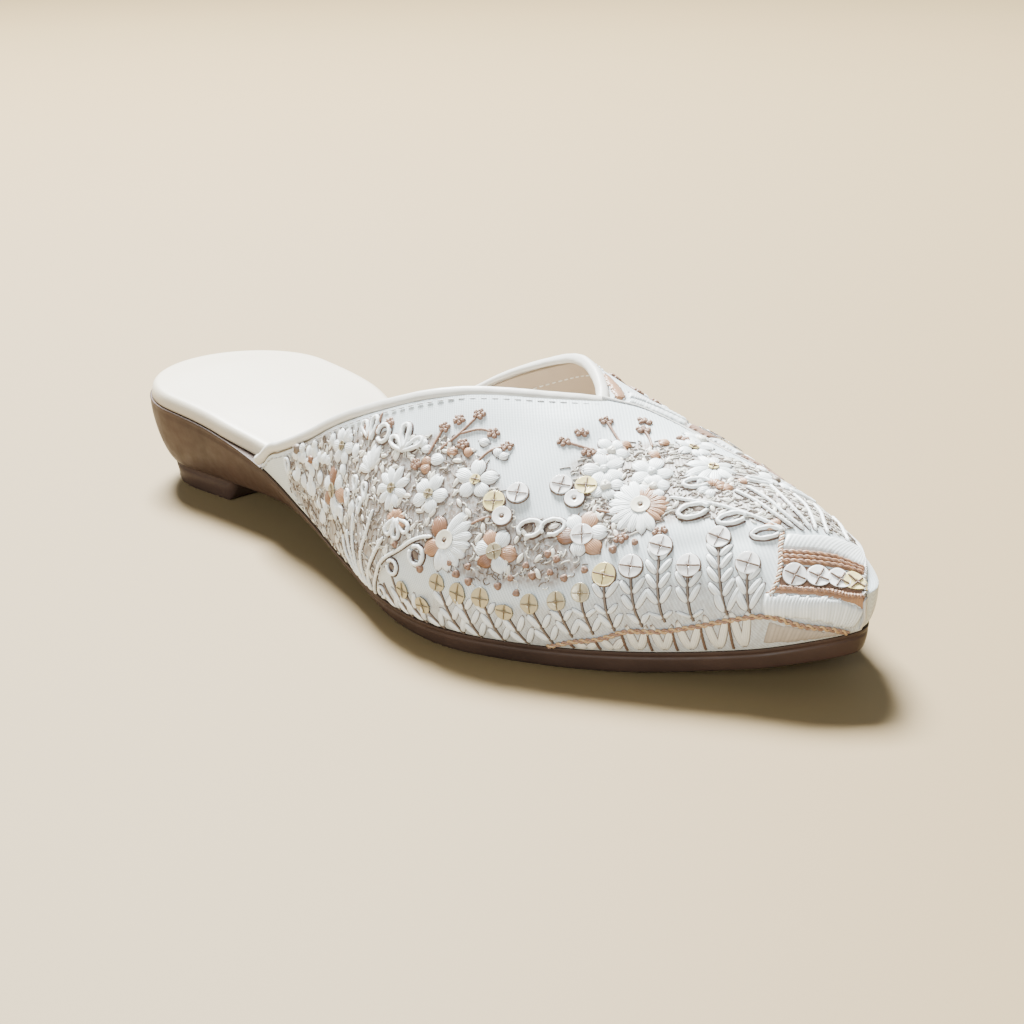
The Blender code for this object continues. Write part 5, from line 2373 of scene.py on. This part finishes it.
@dataclass
class ToplineStitches:
    """Lines of machine stitches under the binding, one outside and one inside."""

    shop: Workshop
    stitch: float = 1.5
    space: float = 1.0
    radius: float = 0.17
    end: float = 0.985
    outside_drop: float = 0.9
    inside_drop: float = 3.0
    wall: float = 2.0

    def build(self) -> None:
        """Make both lines."""
        self.line("stitch_line_outside", -0.26, self.outside_drop, Finish.GREY)
        self.line("stitch_line_inside", self.wall + 0.10, self.inside_drop, Finish.CREAM)

    def line(self, name: str, depth: float, drop: float, finish: Finish) -> None:
        """Make a line of stitches at a depth below the outer face, a way in from the edge.

        Args:
            name: The piece's name.
            depth: How far below the outer face it lies.
            drop: How far in from the edge it lies.
            finish: The thread.
        """
        last = self.shop.last
        around = np.linspace(-self.end, self.end, 3000)
        point, normal, past = last.topline_frame(around, depth)
        point = point - past * drop
        run = distances(point)
        sheets = Sheets()
        for start in np.arange(0.0, run[-1] - self.stitch, self.stitch + self.space):
            at = np.linspace(start, start + self.stitch, 6)
            path = np.stack([np.interp(at, run, point[:, axis]) for axis in range(3)], axis=1)
            face = unit(np.stack([np.interp(at, run, normal[:, axis]) for axis in range(3)], axis=1))
            size = self.radius * np.array([0.5, 1.0, 1.0, 1.0, 1.0, 0.5])
            sheets.tube(sweep(path, face, size, size, 6), 0.85)
        self.shop.piece(name, sheets, finish, "binding")


# ---------- studio


@dataclass
class SoftBox:
    """A square light: where it hangs in metres from the shoe, its size, power and colour."""

    name: str
    place: tuple[float, float, float]
    size: float
    power: float
    colour: Colour

    def hang(self) -> None:
        """Hang the light, facing the shoe."""
        lamp = bpy.data.lights.new(self.name, "AREA")
        lamp.size = self.size
        lamp.energy = self.power
        lamp.color = self.colour
        thing = bpy.data.objects.new(self.name, lamp)
        thing.location = self.place
        thing.rotation_euler = (-Vector(self.place)).to_track_quat("-Z", "Y").to_euler()
        bpy.context.scene.collection.objects.link(thing)


@dataclass
class Studio:
    """The pale floor, the soft lights and the camera."""

    azimuth: float = 48.0
    elevation: float = 19.2
    roll: float = -1.1
    distance: float = 445.0
    lens: float = 68.0
    aim: tuple[float, float, float] = (0.613, 0.412, 0.38)
    floor_reach: float = 6.0
    sky_colour: Colour = (0.93, 0.98, 1.0)
    sky_power: float = 0.33
    lights: tuple[SoftBox, ...] = (
        SoftBox("key", (-1.2, 0.56, 1.92), 0.8, 550.0, (0.965, 1.0, 0.985)),
        SoftBox("front_fill", (1.3, -2.7, 1.2), 1.2, 86.0, (0.95, 1.0, 1.0)),
    )

    def build(self) -> None:
        """Set up the floor, the lights, the sky and the camera."""
        self.lay_floor()
        for light in self.lights:
            light.hang()
        world = bpy.data.worlds.new("studio_sky")
        world.use_nodes = True
        background = world.node_tree.nodes["Background"]
        background.inputs["Color"].default_value = (*self.sky_colour, 1.0)
        background.inputs["Strength"].default_value = self.sky_power
        bpy.context.scene.world = world
        self.place_camera()

    def lay_floor(self) -> None:
        """Lay the floor under the shoe."""
        reach = self.floor_reach
        corners = [(-reach, -reach, 0.0), (reach, -reach, 0.0), (reach, reach, 0.0), (-reach, reach, 0.0)]
        mesh = bpy.data.meshes.new("floor")
        mesh.from_pydata(corners, [], [(0, 1, 2, 3)])
        mesh.materials.append(Finish.FLOOR.value.build())
        floor = bpy.data.objects.new("floor", mesh)
        bpy.context.scene.collection.objects.link(floor)

    def place_camera(self) -> None:
        """Place the camera and make it the scene's."""
        low, high = np.array(CAD_BOX[0]), np.array(CAD_BOX[1])
        aim = low + (high - low) * np.array(self.aim)
        azimuth, elevation, roll = (math.radians(a) for a in (self.azimuth, self.elevation, self.roll))
        flat = math.cos(elevation)
        back = Vector((math.sin(azimuth) * flat, -math.cos(azimuth) * flat, math.sin(elevation)))
        level = Vector((math.cos(azimuth), math.sin(azimuth), 0.0))
        upright = back.cross(level)
        right = level * math.cos(roll) + upright * math.sin(roll)
        up = back.cross(right)
        turn = Matrix((right, up, back)).transposed().to_4x4()
        lens = bpy.data.cameras.new("camera")
        lens.lens = self.lens
        lens.clip_start = 0.01
        camera = bpy.data.objects.new("camera", lens)
        camera.matrix_world = Matrix.Translation(Vector(aim) + back * self.distance * MM) @ turn
        bpy.context.scene.collection.objects.link(camera)
        bpy.context.scene.camera = camera


def main() -> None:
    """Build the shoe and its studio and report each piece."""
    logging.basicConfig(level=logging.INFO, format="%(message)s")
    shop = Workshop(Last())
    Studio().build()
    sole = SoleUnit(shop)
    sole.build()
    Footbed(shop).build(sole.rows())
    upper = Upper(shop)
    upper.build_cloth()
    upper.build_lining()
    upper.build_binding()
    ToplineStitches(shop).build()
    Ground(shop).build()
    Bouquets(shop).build()
    Border(shop).build()
    ToeBand(shop).build()
    PanelEdge(shop).build()


if __name__ == "__main__":
    main()
